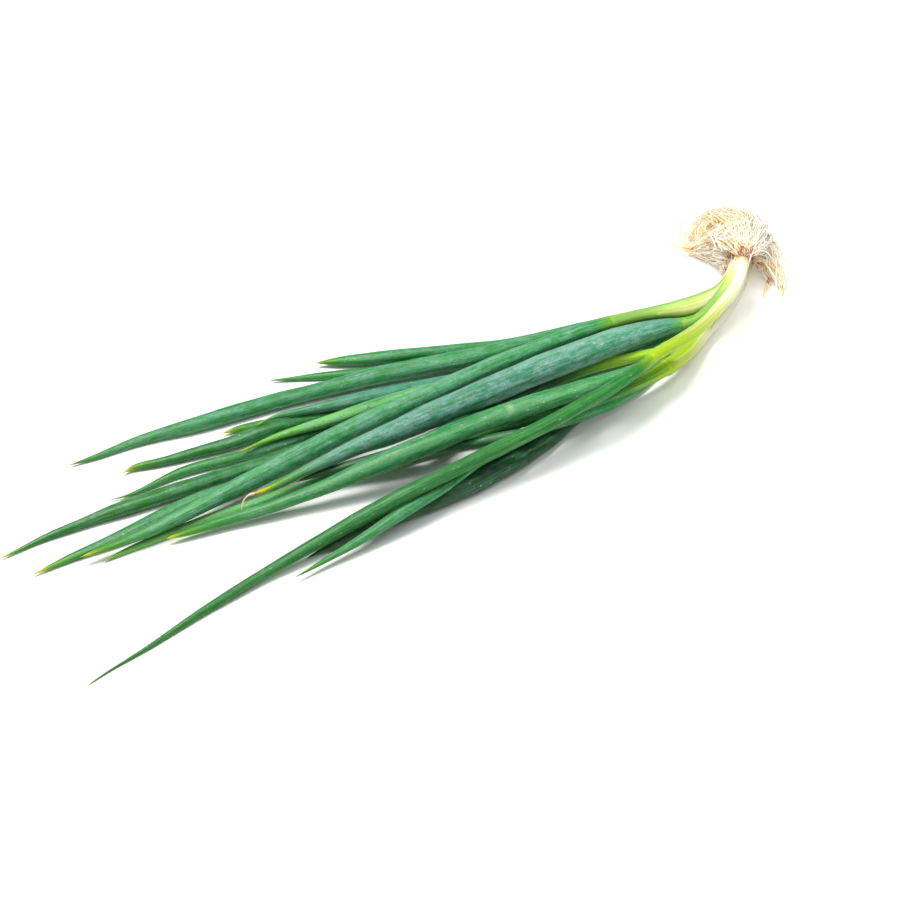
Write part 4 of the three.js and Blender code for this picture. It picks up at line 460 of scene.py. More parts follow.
def build_leaf(index, name):
    line, t = centre_line(STRANDS[name], 1.3)
    length = t[-1]
    r = np.random.default_rng(500 + index)
    line[:, 3] = np.maximum(line[:, 3], 0.0)
    line[:, 3] *= 1 + 0.018 * wave(40 + index, t, 38)
    if name == "leaf_c1":
        near = np.exp(-(((t - length + 6) / 16) ** 2))
        line[:, 3] *= 1 + 0.10 * near
        line[:, :3] += frames(line)[1] * (NUDGE * near)[:, None]
    if name in FULLER:
        at, reach, more = FULLER[name]
        line[:, 3] *= 1 + more * np.exp(-(((t - at) / reach) ** 2))
    # the very tip draws to a point
    tip = np.clip(t / 3.0, 0, 1)
    line[:, 3] = np.maximum(line[:, 3] * np.sqrt(np.clip(tip, 0.02, 1)), 0.10)
    green, wax, yellow_len, yellow = LOOKS[name]
    # every leaf is a little yellower towards its tip and a little lighter towards its base
    mid_c = GREENS[green]
    tip_c = mid_c * np.array([1.15, 1.06, 0.72])
    base_c = mid_c * np.array([1.15, 1.08, 1.05])
    ridge_at, ridge_k = r.uniform(0, 6.28), r.uniform(0.010, 0.03)
    dents = [(r.uniform(0.1, 0.95) * length, r.uniform(0, 6.28), r.uniform(5, 14), r.uniform(0.03, 0.075)) for _ in range(7)]

    def shape(S, P):
        k = 1 + ridge_k * np.cos(2 * (P - ridge_at)) + 0.012 * np.cos(3 * P + 0.02 * S + ridge_at)
        k += 0.006 * np.cos(9 * P + 0.01 * S)
        for s0, p0, size, depth in dents:
            d = np.angle(np.exp(1j * (P - p0)))
            k -= depth * np.exp(-(((S - s0) / size) ** 2)) * np.exp(-((d / 0.55) ** 2))
        return k, np.zeros_like(k)

    def paint(S, P):
        u = S / length
        a = step01(u, 0.08, 0.35)[..., None]
        b = step01(u, 0.45, 0.85)[..., None]
        c = tip_c * (1 - a) + mid_c * a
        c = c * (1 - b) + base_c * b
        c = c * (1 + 0.07 * wave(70 + index, S + 9 * np.cos(P), 60)[..., None])
        # dry yellow end, ragged along the veins
        edge = yellow_len * (1 + 0.45 * np.sin(5 * P + index) * 0.6)
        y = (1 - step01(S, 0.35 * edge, 1.5 * edge))[..., None] * yellow
        c = c * (1 - y) + YELLOW * y
        d = (1 - step01(S, 0.0, 2.2))[..., None] * yellow * 0.8
        c = c * (1 - d) + BROWN * d
        # the faint yellow-green fade behind the dry end
        h = (1 - step01(S, edge, 4.0 * edge + 5))[..., None] * yellow * 0.45
        c = c * (1 - h) + srgb(128, 176, 62) * h
        if name in EXTRA:
            c = EXTRA[name](S, P, c, length)
        mean = (c @ np.array([0.25, 0.65, 0.10]))[..., None]
        c = mean + (c - mean) * 1.22
        w = wax * step01(S, 2 * yellow_len, 5 * yellow_len + 10) * (1 - step01(S, length - 40, length - 8))
        return np.clip(c, 0.004, 1), w

    piece = Piece()
    tube(piece, line, 30, shape, paint, seed=index)
    if name in ADDED:
        ADDED[name](piece, line, t)
    o = piece.build(name + "_blade", MAT[name[:6]])
    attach(o, "root")
    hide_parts(name)
    return o


def lime_base(from_mm, to_mm, colour, amount):
    """The base fades to the lime of its stem: distances are from the base end."""
    colour = colour * (0.74 if to_mm == 8 else 1.0)

    def f(S, P, c, length):
        k = step01(S, length - from_mm, length - to_mm)[..., None] * amount
        return c * (1 - k) + colour * k

    return f


def both(*fs):
    def f(S, P, c, length):
        for g in fs:
            c = g(S, P, c, length)
        return c

    return f


def stripe_and_sheen(p0, width, colour, amount, s0=0.0, s1=1.0):
    """A lighter band along the leaf, at the angle p0: on the upper side it is a painted highlight, on the lower side a
    paler stripe of the leaf's own colour.
    """

    def f(S, P, c, length):
        d = np.angle(np.exp(1j * (P - p0)))
        u = S / length
        k = np.exp(-((d / width) ** 2)) * step01(u, s0, s0 + 0.08) * (1 - step01(u, s1 - 0.08, s1))
        k = (k * amount)[..., None]
        return c * (1 - k) + colour * k

    return f


def shade(s0, s1, s2, s3, colour, amount):
    """Painted shade: a darker length of leaf, from s0..s1 to s2..s3 mm from the tip, where it lies in the dark gap
    between other leaves.
    """

    def f(S, P, c, length):
        k = (step01(S, s0, s1) * (1 - step01(S, s2, s3)) * amount)[..., None]
        return c * (1 - k) + colour * k

    return f


def scar(s_mm, p0, size_s, size_p, colour, amount):
    def f(S, P, c, length):
        d = np.angle(np.exp(1j * (P - p0)))
        k = (np.exp(-(((S - s_mm) / size_s) ** 4) - (d / size_p) ** 4) * amount)[..., None]
        return c * (1 - k) + colour * k

    return f


COLLAR = {"a": LIME, "b": SOFT_LIME, "c": LIME, "e": SOFT_LIME}
EXTRA = {
    "leaf_a1": both(lime_base(28, 8, COLLAR["a"], 1.0), stripe_and_sheen(-2.2, 0.35, srgb(150, 196, 70), 0.40, 0.15, 0.9)),
    # leaf_a2 and leaf_b1: the pale band along the upper edge is a painted highlight
    "leaf_a2": both(lime_base(46, 8, SOFT_LIME, 0.9), scar(214, 1.9, 2.2, 0.5, srgb(170, 190, 150), 0.7), stripe_and_sheen(2.1, 0.3, srgb(150, 200, 150), 0.30, 0.1, 0.85)),
    "leaf_b1": both(lime_base(24, 8, COLLAR["b"], 1.0), stripe_and_sheen(1.5, 0.40, srgb(150, 205, 160), 0.25, 0.05, 0.9)),
    "leaf_b2": lime_base(36, 5, SOFT_LIME, 0.7),
    "leaf_b3": lime_base(44, 5, SOFT_LIME, 0.7),
    "leaf_b4": lime_base(30, 5, SOFT_LIME, 0.7),
    "leaf_b5": lime_base(24, 4, SOFT_LIME, 0.7),
    "leaf_b6": lime_base(20, 3, SOFT_LIME, 0.8),
    "leaf_b7": lime_base(20, 3, SOFT_LIME, 0.8),
    # leaf_e1: the pale band along the upper edge is a painted highlight
    "leaf_e1": both(lime_base(21, 8, COLLAR["e"], 1.0), stripe_and_sheen(1.4, 0.35, srgb(160, 205, 175), 0.25, 0.05, 0.9)),
    "leaf_e2": both(lime_base(20, 3, SOFT_LIME, 0.8), scar(34, 1.2, 1.6, 0.35, srgb(60, 70, 40), 0.7), scar(54, 2.0, 2.0, 0.3, srgb(70, 84, 44), 0.6)),
    "leaf_e3": both(lime_base(20, 3, SOFT_LIME, 0.8), scar(96, 1.6, 4.0, 0.25, srgb(56, 116, 40), 0.8)),
    "leaf_e4": lime_base(20, 3, SOFT_LIME, 0.8),
    "leaf_e5": lime_base(20, 3, SOFT_LIME, 0.8),
    "leaf_c1": both(lime_base(64, 8, COLLAR["c"], 1.0), stripe_and_sheen(-1.9, 0.5, srgb(196, 196, 70), 0.5, 0.6, 0.95)),
    "leaf_c2": lime_base(24, 4, DULL_LIME, 0.8),
    # leaf_c3: the darker length from about 185 to 350 mm from the tip is painted shade, where it lies in the gap
    # between other leaves
    "leaf_c3": both(lime_base(30, 4, DULL_LIME, 0.8), shade(185, 222, 330, 350, srgb(30, 66, 36), 0.85)),
    "leaf_c4": lime_base(20, 4, DULL_LIME, 0.8),
    "leaf_c5": both(lime_base(96, 50, DULL_LIME, 0.95), lime_base(72, 14, LIME, 1.0)),
}


def dry_thread(piece, line, t):
    """The withered end of the biggest leaf hangs from its tip as a dry cream thread."""
    tangent, side, rise = frames(line)
    p = line[0, :3]
    back = -tangent[0]
    pts = [p + tangent[0] * 1.5]
    for i, (a, sd, dn) in enumerate(((0.6, 0.0, 0.0), (3.2, 0.4, -0.6), (5.4, 1.5, -2.0), (6.8, 3.4, -3.8), (8.0, 6.2, -5.6), (9.3, 9.2, -7.2))):
        q = p + back * a + side[0] * sd * THREAD_SIDE
        q[2] = max(0.7, p[2] + dn)
        pts.append(q)
    w = [0.95, 0.75, 0.6, 0.5, 0.45, 0.38, 0.25]
    l2, t2 = centre_line([(*q, k) for q, k in zip(pts, w)], 0.5, 0.8)
    tube(piece, l2, 8, lambda S, P: (1 + 0.15 * np.cos(2 * P + S * 0.8), np.zeros_like(P)),
         lambda S, P: (np.broadcast_to(srgb(226, 200, 160), S.shape + (3,)) * (1 - 0.25 * step01(S, 9, 14)[..., None]), np.zeros_like(S)))


THREAD_SIDE = -1.0
ADDED = {"leaf_e1": dry_thread}

leaves = [n for n in STRANDS if n.startswith("leaf")]
for i, n in enumerate(leaves):
    build_leaf(i, n)

# ---------------------------------------------------------------- stems
CREAM = srgb(250, 244, 222)
PALE_LIME = srgb(215, 226, 130)
WARM = srgb(245, 232, 200)
# per stem: the share of its length where the lime starts to fade, and where it has turned to cream
STEM_FADE = {"stem_a": (0.22, 0.80), "stem_b": (0.20, 0.80), "stem_c": (0.00, 0.42), "stem_e": (0.40, 0.90)}
# greener along one side: angle, width, and how far towards the collar its colour is shifted
STEM_SIDE = {"stem_a": (3.7, 0.7, 0.10), "stem_b": (1.15, 0.42, 0.46), "stem_c": (1.3, 0.7, 0.24), "stem_e": (3.6, 0.8, 0.12)}


def stem_paint(name, length, seed, shift=0.0):
    collar = COLLAR[name[-1]]
    lime_to, cream_from = STEM_FADE[name]
    p0, width, back = STEM_SIDE[name]

    def paint(S, P):
        d = np.angle(np.exp(1j * (P - p0)))
        green = back * np.exp(-((d / width) ** 2)) * step01(S, 6, 24) * (1 - step01(S, length - 30, length - 8))
        streak = 0.05 * np.sin(3 * P + seed) + 0.05 * np.sin(7 * P + 2 * seed) + 0.045 * np.sin(13 * P + 5 * seed) + 0.03 * np.sin(19 * P + 3 * seed)
        u = np.clip(S / length + shift - green + streak * step01(S, 2, 16), 0, 1)
        q = (np.clip((u - lime_to) / (cream_from - lime_to), 0, 1) * 2)[..., None]
        c = np.where(q < 1, collar * (1 - q) + PALE_LIME * q, PALE_LIME * (2 - q) + CREAM * (q - 1))
        k = step01(u, 0.78, 1.0)[..., None]
        c = c * (1 - k) + WARM * k
        shade = (0.72 + 0.20 * step01(S / length, 0.12, 0.7))[..., None]
        # an orange ring where the roots begin
        k = (step01(S, length - 4.5, length - 1.0) * (0.75 + 0.25 * np.sin(5 * P + seed)))[..., None] * 0.75
        c = c * (1 - k) + srgb(232, 150, 78) * k
        return np.clip(c * shade, 0, 1), np.clip(1.1 - S / length, 0.2, 1) * step01(S, 1, 12)

    return paint


def sheath(piece, name, line, length, from_mm, to_mm, p0, half, slant, offset, seed, shift):
    """An outer sheath layer: part of the way round, a little proud, with a slanting mouth towards the leaves."""
    keep = (np.r_[0, np.cumsum(np.linalg.norm(np.diff(line[:, :3], axis=0), axis=1))] >= from_mm - abs(slant) - 1)
    s_all = np.r_[0, np.cumsum(np.linalg.norm(np.diff(line[:, :3], axis=0), axis=1))]
    tangent, side, rise = frames(line)
    cols = 26
    phi = p0 + np.linspace(-half, half, cols)
    start = from_mm + slant * np.linspace(-1, 1, cols) ** 2
    rows = int((to_mm - from_mm) / 1.4)
    v = np.zeros((rows, cols, 3))
    vin = np.zeros((rows, cols, 3))
    S = np.zeros((rows, cols))
    for j in range(cols):
        s = np.linspace(start[j], to_mm, rows)
        S[:, j] = s
        c = np.stack([np.interp(s, s_all, line[:, k]) for k in range(3)], 1)
        w = np.interp(s, s_all, line[:, 3])
        sd = np.stack([np.interp(s, s_all, side[:, k]) for k in range(3)], 1)
        rs = np.stack([np.interp(s, s_all, rise[:, k]) for k in range(3)], 1)
        e = abs(j / (cols - 1) * 2 - 1)
        out = offset * (1 - 0.85 * e**6) * (1 - 0.6 * step01(s, to_mm - 14, to_mm)) + 0.05 * np.sin(s * 0.35 + phi[j] * 3)
        for dest, o in ((v, out), (vin, out * 0 - 0.35)):
            dest[:, j] = c + sd * ((w + o) * np.cos(phi[j]))[:, None] + rs * ((w + o) * FLATNESS * np.sin(phi[j]))[:, None]
    P = np.broadcast_to(phi, S.shape)
    tint, wax = stem_paint(name, length, seed, shift)(S, P)
    grain = np.stack([np.cos(P) * 5, np.sin(P) * 5, S + seed * 91], -1)
    f = []
    n = rows * cols
    for i in range(rows - 1):
        for j in range(cols - 1):
            a, b, c, d = i * cols + j, i * cols + j + 1, (i + 1) * cols + j + 1, (i + 1) * cols + j
            f.append((a, b, c, d))
            f.append((n + a, n + d, n + c, n + b))
    for i in range(rows - 1):
        for j, flip in ((0, False), (cols - 1, True)):
            a, d = i * cols + j, (i + 1) * cols + j
            f.append((a, d, n + d, n + a) if not flip else (a, n + a, n + d, d))
    for j in range(cols - 1):
        for i, flip in ((0, True), (rows - 1, False)):
            a, b = i * cols + j, i * cols + j + 1
            f.append((a, b, n + b, n + a) if not flip else (a, n + a, n + b, b))
    V = np.vstack([v.reshape(-1, 3), vin.reshape(-1, 3)])
    piece.add(V, f, np.vstack([tint.reshape(-1, 3)] * 2), np.vstack([grain.reshape(-1, 3)] * 2), np.r_[wax.reshape(-1), wax.reshape(-1)])


SHEATHS = {
    # from, to (mm from the collar), centre angle, half angle, slant, offset, colour shift
    "stem_a": [(14, 96, 0.6, 1.5, 16, 0.22, 0.05), (58, 104, 3.6, 1.0, 18, 0.20, 0.04)],
    "stem_b": [(30, 96, 3.0, 1.35, 24, 0.20, 0.03), (62, 102, 0.9, 1.0, 14, 0.22, 0.03)],
    "stem_c": [(10, 100, 5.0, 1.5, 14, 0.22, 0.03), (52, 112, 2.9, 1.0, 18, 0.22, 0.06)],
    "stem_e": [],
}


def build_stem(index, name):
    line, t = centre_line(STRANDS[name], 1.0, 3.0)
    length = t[-1]
    piece = Piece()
    # the mouth of the sheath hugs the leaf that grows out of it, and the foot swells a little into the crown
    line[:, 3] *= 1 + 0.06 * np.exp(-(((length - t) / 6) ** 2)) + 0.02 * wave(9 + index, t, 30)
    line[:, 3] += 0.12
    if name == "stem_c":
        near = np.exp(-(((t - 4) / 16) ** 2))
        line[:, 3] *= 1 + 0.12 * near
        line[:, :3] += frames(line)[1] * (NUDGE * near)[:, None]

    def shape(S, P):
        k = 1 + 0.02 * np.cos(3 * P + 0.03 * S) + 0.008 * np.cos(11 * P + 0.015 * S + index) + 0.006 * np.cos(17 * P)
        # the lip of the collar where the leaf comes out
        k += 0.075 * np.exp(-(((S - 1.6 - 0.8 * np.cos(P - 2.4)) / 1.1) ** 2))
        return k, np.zeros_like(k)

    tube(piece, line, 40, shape, stem_paint(name, length, index), seed=30 + index)
    for k, (a, b, p0, half, slant, off, shift) in enumerate(SHEATHS[name]):
        sheath(piece, name, line, length, a, min(b, length - 2.5), p0, half, slant, off, index * 7 + k, shift)
    # the root plate: a low brown disc
    end = line[-1]
    tangent, side, rise = frames(line)
    base = [(*(end[:3] + tangent[-1] * d), w) for d, w in ((-1.2, end[3] * 0.99), (0.2, end[3] * 1.03), (1.2, end[3] * 1.0), (2.2, end[3] * 0.78), (3.0, end[3] * 0.42))]
    l2, t2 = centre_line(base, 0.35, 0.3)

    def plate(S, P):
        k = step01(S, 0.6, 2.4)[..., None]
        c = srgb(226, 186, 130) * (1 - k) + srgb(126, 74, 44) * k
        return c * (1 + 0.15 * np.sin(9 * P + 3 * S)[..., None]), np.zeros_like(S)

    tube(piece, l2, 28, lambda S, P: (1 + 0.05 * np.sin(8 * P + S), np.zeros_like(P)), plate)
    o = piece.build(name + "_sheaths", MAT["stem"])
    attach(o, "root")
    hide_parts(name)


for i, n in enumerate([n for n in STRANDS if n.startswith("stem")]):
    build_stem(i, n)

# ---------------------------------------------------------------- roots
# long rootlets that swirl round the whole tuft: plant, count, tone, guide
SWIRLS = [
    ("a", 50, 0.35, [(228.3, -15.3, 26.0, 2.4), (242.2, -11.1, 30.0, 3.4), (259.5, 4.6, 27.0, 3.4), (264.4, 21.5, 24.0, 3.2), (259.6, 35.2, 21.0, 3.0), (251.0, 43.4, 18.0, 3.0), (240.1, 45.0, 13.0, 3.0), (231.9, 40.5, 6.5, 2.6), (230.0, 32.0, 3.5, 2.4), (234.4, 23.4, 3.5, 2.2), (235.6, 13.1, 3.5, 2.0)]),
    ("a", 46, 0.90, [(227.8, -14.9, 26.0, 2.4), (238.1, -7.2, 31.0, 3.8), (247.5, 9.3, 30.0, 3.8), (247.9, 24.9, 26.5, 3.8), (239.3, 30.9, 22.0, 3.6), (232.4, 31.9, 15.0, 3.6), (230.2, 27.0, 11.0, 3.2), (232.3, 17.9, 13.0, 3.0), (233.7, 6.2, 16.0, 2.4)]),
    ("a", 40, 0.45, [(265.0, -1.7, 16.0, 2.6), (258.3, 4.9, 25.0, 3.8), (246.7, 10.4, 30.5, 4.2), (234.5, 13.3, 28.5, 4.4), (227.6, 18.0, 21.0, 4.2), (226.4, 27.4, 10.0, 3.6), (227.1, 34.6, 4.0, 2.6)]),
    ("c", 38, 0.50, [(229.6, -15.8, 25.0, 2.2), (242.3, -13.1, 28.0, 3.0), (259.0, -5.4, 19.0, 3.2), (259.5, -12.3, 12.0, 3.2), (255.8, -21.8, 7.5, 2.8), (250.2, -31.5, 2.4, 1.8)]),
    ("b", 26, 0.70, [(236.5, 4.6, 15.0, 2.2), (232.1, 12.3, 17.0, 3.2), (230.0, 24.7, 10.0, 3.4), (226.5, 32.0, 5.0, 2.6), (230.0, 27.1, 3.2, 2.4), (233.9, 17.9, 3.0, 2.2), (232.0, 5.9, 3.0, 1.8)]),
]
STRAYS = [
    ("a", [(236.4, -17.5, 33.0, 0.42), (230.5, -20.8, 30.5, 0.42), (226.6, -22.4, 27.0, 0.36), (223.9, -24.8, 25.0, 0.22)]),
    ("a", [(229.3, -20.3, 30.0, 0.42), (236.3, -18.8, 30.0, 0.45), (245.1, -17.8, 25.0, 0.42), (250.7, -20.9, 16.0, 0.28)]),
    ("b", [(224.3, -14.5, 15.0, 0.60), (225.5, -11.4, 16.5, 1.35), (228.7, -6.2, 16.8, 1.15), (233.0, 0.4, 16.5, 0.25)]),
    ("a", [(225.1, 13.8, 29.0, 0.36), (223.8, 0.1, 32.0, 0.42), (231.2, -3.5, 34.0, 0.42), (247.3, 2.7, 33.0, 0.40), (265.2, 14.1, 27.0, 0.30)]),
    ("a", [(222.7, 4.4, 30.0, 0.34), (231.0, 3.8, 33.0, 0.40), (243.7, 8.1, 33.0, 0.40), (259.7, 12.7, 28.5, 0.32), (271.6, 12.8, 19.0, 0.25)]),
    ("a", [(228.0, 22.0, 27.0, 0.34), (222.9, 7.4, 29.0, 0.38), (220.3, 1.1, 26.0, 0.25)]),
    ("a", [(250.0, 26.5, 27.0, 0.30), (233.2, 13.9, 31.0, 0.40), (223.2, 4.9, 29.5, 0.38), (220.7, -4.0, 28.0, 0.25)]),
    ("c", [(247.1, -14.8, 14.0, 0.35), (247.0, -21.8, 12.0, 0.40), (245.4, -29.7, 8.0, 0.35), (242.1, -33.2, 3.0, 0.20)]),
]
KNOTS = [
    ("a", (231.0, -17.2, 32.0), 5.0, 30),
    ("a", (225.4, -15.3, 31.0), 3.0, 10),
    ("c", (244.8, -16.7, 13.0), 3.2, 16),
    ("c", (243.1, -25.0, 7.0), 2.4, 14),
    ("b", (227.3, -2.8, 10.0), 2.0, 6),
    ("a", (239.6, 24.1, 28.0), 2.0, 5),
    ("a", (223.2, 11.8, 21.0), 2.5, 5),
]


def along(guide, s, u):
    return np.stack([np.interp(np.minimum(u, 1) * s[-1], s, guide[:, c]) for c in range(4)], 1)


# places where the roots are amber: centre, reach, strength
AMBER_AT = [
    ((231.6, 23.6, 20.0), 6.0, 1.3),
    ((238.8, 18.2, 27.0), 5.5, 1.0),
    ((246.7, 13.1, 29.0), 5.0, 0.6),
    ((231.0, 30.6, 7.0), 5.0, 0.7),
    ((231.2, 1.9, 11.0), 4.0, 0.6),
    ((247.1, -11.3, 12.0), 5.0, 0.8),
    ((250.0, -19.8, 8.0), 5.0, 0.5),
    ((231.8, -15.5, 30.0), 5.0, 0.6),
]


def amber_at(p):
    made = np.zeros(len(p))
    for at, reach, more in AMBER_AT:
        made = made + more * np.exp(-(((p - np.array(at)) / reach) ** 2).sum(1))
    return made


def rootlets():
    made = {k: Piece() for k in "abce"}
    lowest = 0.30
    pale, cream = srgb(255, 252, 243), srgb(255, 238, 200)
    amber, dark = srgb(253, 190, 88), srgb(160, 92, 42)
    table = np.array([pale, cream, amber])
    singles = 0
    for li, (plant, count, pts) in enumerate(LOCKS):
        guide = np.array(pts, float)
        s = np.r_[0, np.cumsum(np.linalg.norm(np.diff(guide[:, :3], axis=0), axis=1))]
        long = s[-1]
        single = plant == "w"
        owner = plant
        if single:
            singles += 1
            owner = "b" if singles <= 3 else "c"
        for k in range(count if single else int(count * 1.2)):
            r = np.random.default_rng(9000 + li * 200 + k)
            cut = r.uniform(0.85, 1.0) if single else r.uniform(0.45, 1.12) if r.uniform() < 0.45 else r.uniform(0.85, 1.12)
            n = max(12, int(long * cut / 1.85))
            u = np.linspace(0, cut, n)
            g = along(guide, s, u)
            other = r.integers(0, len(LOCKS))
            if not single and r.uniform() < 0.34 and LOCKS[other][0] == plant and other != li:
                # a rootlet that crosses over to another bundle
                second = np.array(LOCKS[other][2], float)
                s2 = np.r_[0, np.cumsum(np.linalg.norm(np.diff(second[:, :3], axis=0), axis=1))]
                at = r.uniform(0.25, 0.75)
                k2 = step01(u, at - 0.28, at + 0.28)[:, None]
                g = g * (1 - k2) + along(second, s2, u) * k2
            g = smooth(g, 1.6)
            over = np.maximum(u - 1, 0) * long
            tangent = np.gradient(g[:, :3], axis=0)
            tangent /= np.maximum(np.linalg.norm(tangent, axis=1, keepdims=True), 1e-6)
            g[:, :3] += tangent[-2] * over[:, None]
            e1 = np.cross(tangent, [0.3, 0.2, 0.93])
            e1 /= np.maximum(np.linalg.norm(e1, axis=1, keepdims=True), 1e-6)
            e2 = np.cross(tangent, e1)
            rho = math.sqrt(r.uniform(0.0, 1.0))
            turn = r.uniform(-1.0, 1.0) * (2.6 if not single else 0.3)
            ang = r.uniform(0, 6.28) + turn * u
            stray = 1.0 + (0.45 * r.uniform(0, 1) ** 3) * step01(u, 0.3, 1.0)
            rad = g[:, 3] * rho * stray * (0.40 + 0.60 * step01(u, 0, 0.22))
            amp = (0.35 if single else r.uniform(0.4, 2.1)) * (0.30 + 0.70 * step01(u, 0.03, 0.4))
            size = r.uniform(18, 46)
            o1 = rad * np.cos(ang) + amp * wave(7 + li * 1000 + k, u * long, size, 2)
            o2 = rad * np.sin(ang) + amp * wave(507 + li * 1000 + k, u * long, size * 0.9, 2)
            p = g[:, :3] + e1 * o1[:, None] + e2 * o2[:, None]
            thick = r.uniform(0.15, 0.33) if not single else r.uniform(0.28, 0.42)
            w = thick * (1 - 0.6 * np.linspace(0, 1, n) ** 2)
            p[:, 2] = np.maximum(p[:, 2], lowest + w)
            p = np.minimum(np.maximum(p, ROOT_LO), ROOT_HI)
            line = np.column_stack([p, w])
            # the outer rootlets are bleached, the inner ones amber, and all are stained at the crown
            tone = np.clip((1.3 if single else 0) + r.normal((1.55 if li in (0, 1, 5) else 1.15) - 0.85 * rho, 0.40) + 0.35 * wave(3 + k, u * long, 24, 2) + (0.25 if r.uniform() < 0.18 else 0) + amber_at(p), 0, 1.98)
            stain = r.uniform(0.15, 0.95) ** 1.5
            reach = r.uniform(3.0, 9.0)

            def paint(S, P, tone=tone, stain=stain, reach=reach):
                i = np.clip(tone.astype(int), 0, 1)
                q = (tone - i)[:, None]
                c = (table[i] * (1 - q) + table[i + 1] * q)[:, None, :]
                d = (1 - step01(S, 0.3 * reach, reach))[..., None] * stain
                return c * (1 - d) + dark * d, np.zeros_like(S)

            tube(made[owner], line, 5, lambda S, P: (np.ones_like(P), np.zeros_like(P)), paint, seed=li + k * 0.37)
        if single:
            continue
        # short curls that wrap over the bundle
        for k in range(int(count * 0.22)):
            r = np.random.default_rng(40000 + li * 300 + k)
            u0 = r.uniform(0.0, 0.75)
            u1 = min(1.05, u0 + r.uniform(8, 22) / long)
            n = max(14, int((u1 - u0) * long * 2.2))
            u = np.linspace(u0, u1, n)
            g = smooth(along(guide, s, u), 1.6)
            tangent = np.gradient(g[:, :3], axis=0)
            tangent /= np.maximum(np.linalg.norm(tangent, axis=1, keepdims=True), 1e-6)
            e1 = np.cross(tangent, [0.3, 0.2, 0.93])
            e1 /= np.maximum(np.linalg.norm(e1, axis=1, keepdims=True), 1e-6)
            e2 = np.cross(tangent, e1)
            q = np.linspace(0, 1, n)
            ang = r.uniform(0, 6.28) + r.choice([-1, 1]) * r.uniform(1.2, 4.4) * q
            rad = np.maximum(g[:, 3], 2.2) * r.uniform(0.80, 1.18) + 0.7 * wave(31 + li * 900 + k, q * 20, 14, 2)
            p = g[:, :3] + e1 * (rad * np.cos(ang))[:, None] + e2 * (rad * np.sin(ang))[:, None]
            p += tangent * (r.uniform(-1, 1) * 4 * np.sin(q * np.pi))[:, None]
            w = r.uniform(0.18, 0.36) * (1 - 0.55 * q**2)
            p[:, 2] = np.maximum(p[:, 2], lowest + w)
            p = np.minimum(np.maximum(p, ROOT_LO), ROOT_HI)
            mix = np.clip(r.normal(0.5, 0.45), 0, 1.9)
            c = table[int(mix)] * (1 - mix % 1) + table[int(mix) + 1] * (mix % 1)
            tube(made[owner], np.column_stack([p, w]), 5, lambda S, P: (np.ones_like(P), np.zeros_like(P)),
                 lambda S, P, c=c: (np.broadcast_to(c, S.shape + (3,)), np.zeros_like(S)), seed=k)
        # dry brown scales and stubs round the crown
        for k in range(13):
            r = np.random.default_rng(70000 + li * 50 + k)
            at = guide[0, :3] + (guide[1, :3] - guide[0, :3]) * r.uniform(0.02, 0.75)
            out = r.normal(0, 1, 3)
            out /= np.linalg.norm(out)
            at = at + out * r.uniform(0.8, 4.6)
            way = r.normal(0, 1, 3) + (guide[1, :3] - guide[0, :3]) / 6
            way /= np.linalg.norm(way)
            m = 6
            u = np.linspace(0, 1, m)[:, None]
            p = at + way * u * r.uniform(1.2, 3.4) + out * (u**2) * r.uniform(-1, 1)
            w = r.uniform(0.24, 0.55) * (1 - 0.6 * u[:, 0])
            p[:, 2] = np.maximum(p[:, 2], lowest + w)
            p = np.minimum(np.maximum(p, ROOT_LO), ROOT_HI)
            c = srgb(156, 96, 50) * r.uniform(0.5, 1.8)
            tube(made[owner], np.column_stack([p, w]), 5, lambda S, P: (np.ones_like(P), np.zeros_like(P)),
                 lambda S, P, c=c: (np.broadcast_to(c, S.shape + (3,)), np.zeros_like(S)), seed=k)
    for li, (plant, count, centre, pts) in enumerate(SWIRLS):
        guide = np.array(pts, float)
        s = np.r_[0, np.cumsum(np.linalg.norm(np.diff(guide[:, :3], axis=0), axis=1))]
        long = s[-1]
        for k in range(count):
            r = np.random.default_rng(120000 + li * 200 + k)
            u0, u1 = r.uniform(0, 0.35) * (r.uniform() < 0.6), 1 - r.uniform(0, 0.45) * (r.uniform() < 0.6)
            n = max(14, int(long * (u1 - u0) / 1.8))
            u = np.linspace(u0, u1, n)
            g = smooth(along(guide, s, u), 3.3)
            tangent = np.gradient(g[:, :3], axis=0)
            tangent /= np.maximum(np.linalg.norm(tangent, axis=1, keepdims=True), 1e-6)
            e1 = np.cross(tangent, [0.3, 0.2, 0.93])
            e1 /= np.maximum(np.linalg.norm(e1, axis=1, keepdims=True), 1e-6)
            e2 = np.cross(tangent, e1)
            rho = math.sqrt(r.uniform(0.05, 1.0))
            ang = r.uniform(0, 6.28) + r.uniform(-1.6, 1.6) * u
            rad = g[:, 3] * rho * (0.45 + 0.55 * step01(u, 0, 0.2))
            amp, size = r.uniform(0.3, 1.7), r.uniform(26, 60)
            p = g[:, :3] + e1 * (rad * np.cos(ang) + amp * wave(61 + li * 700 + k, u * long, size, 2))[:, None]
            p += e2 * (rad * np.sin(ang) + amp * wave(961 + li * 700 + k, u * long, size, 2))[:, None]
            w = r.uniform(0.18, 0.40) * (1 - 0.55 * np.linspace(0, 1, n) ** 2)
            p[:, 2] = np.maximum(p[:, 2], lowest + w)
            p = np.minimum(np.maximum(p, ROOT_LO), ROOT_HI)
            tone = np.clip(r.normal(centre, 0.40) - 0.3 * (rho - 0.5) + 0.3 * wave(5 + k, u * long, 30, 2) + 0.7 * amber_at(p), 0, 1.98)

            def paint(S, P, tone=tone):
                i = np.clip(tone.astype(int), 0, 1)
                q = (tone - i)[:, None]
                return (table[i] * (1 - q) + table[i + 1] * q)[:, None, :] * np.ones(S.shape + (1,)), np.zeros_like(S)

            tube(made[plant], np.column_stack([p, w]), 5, lambda S, P: (np.ones_like(P), np.zeros_like(P)), paint, seed=li + k * 0.37)
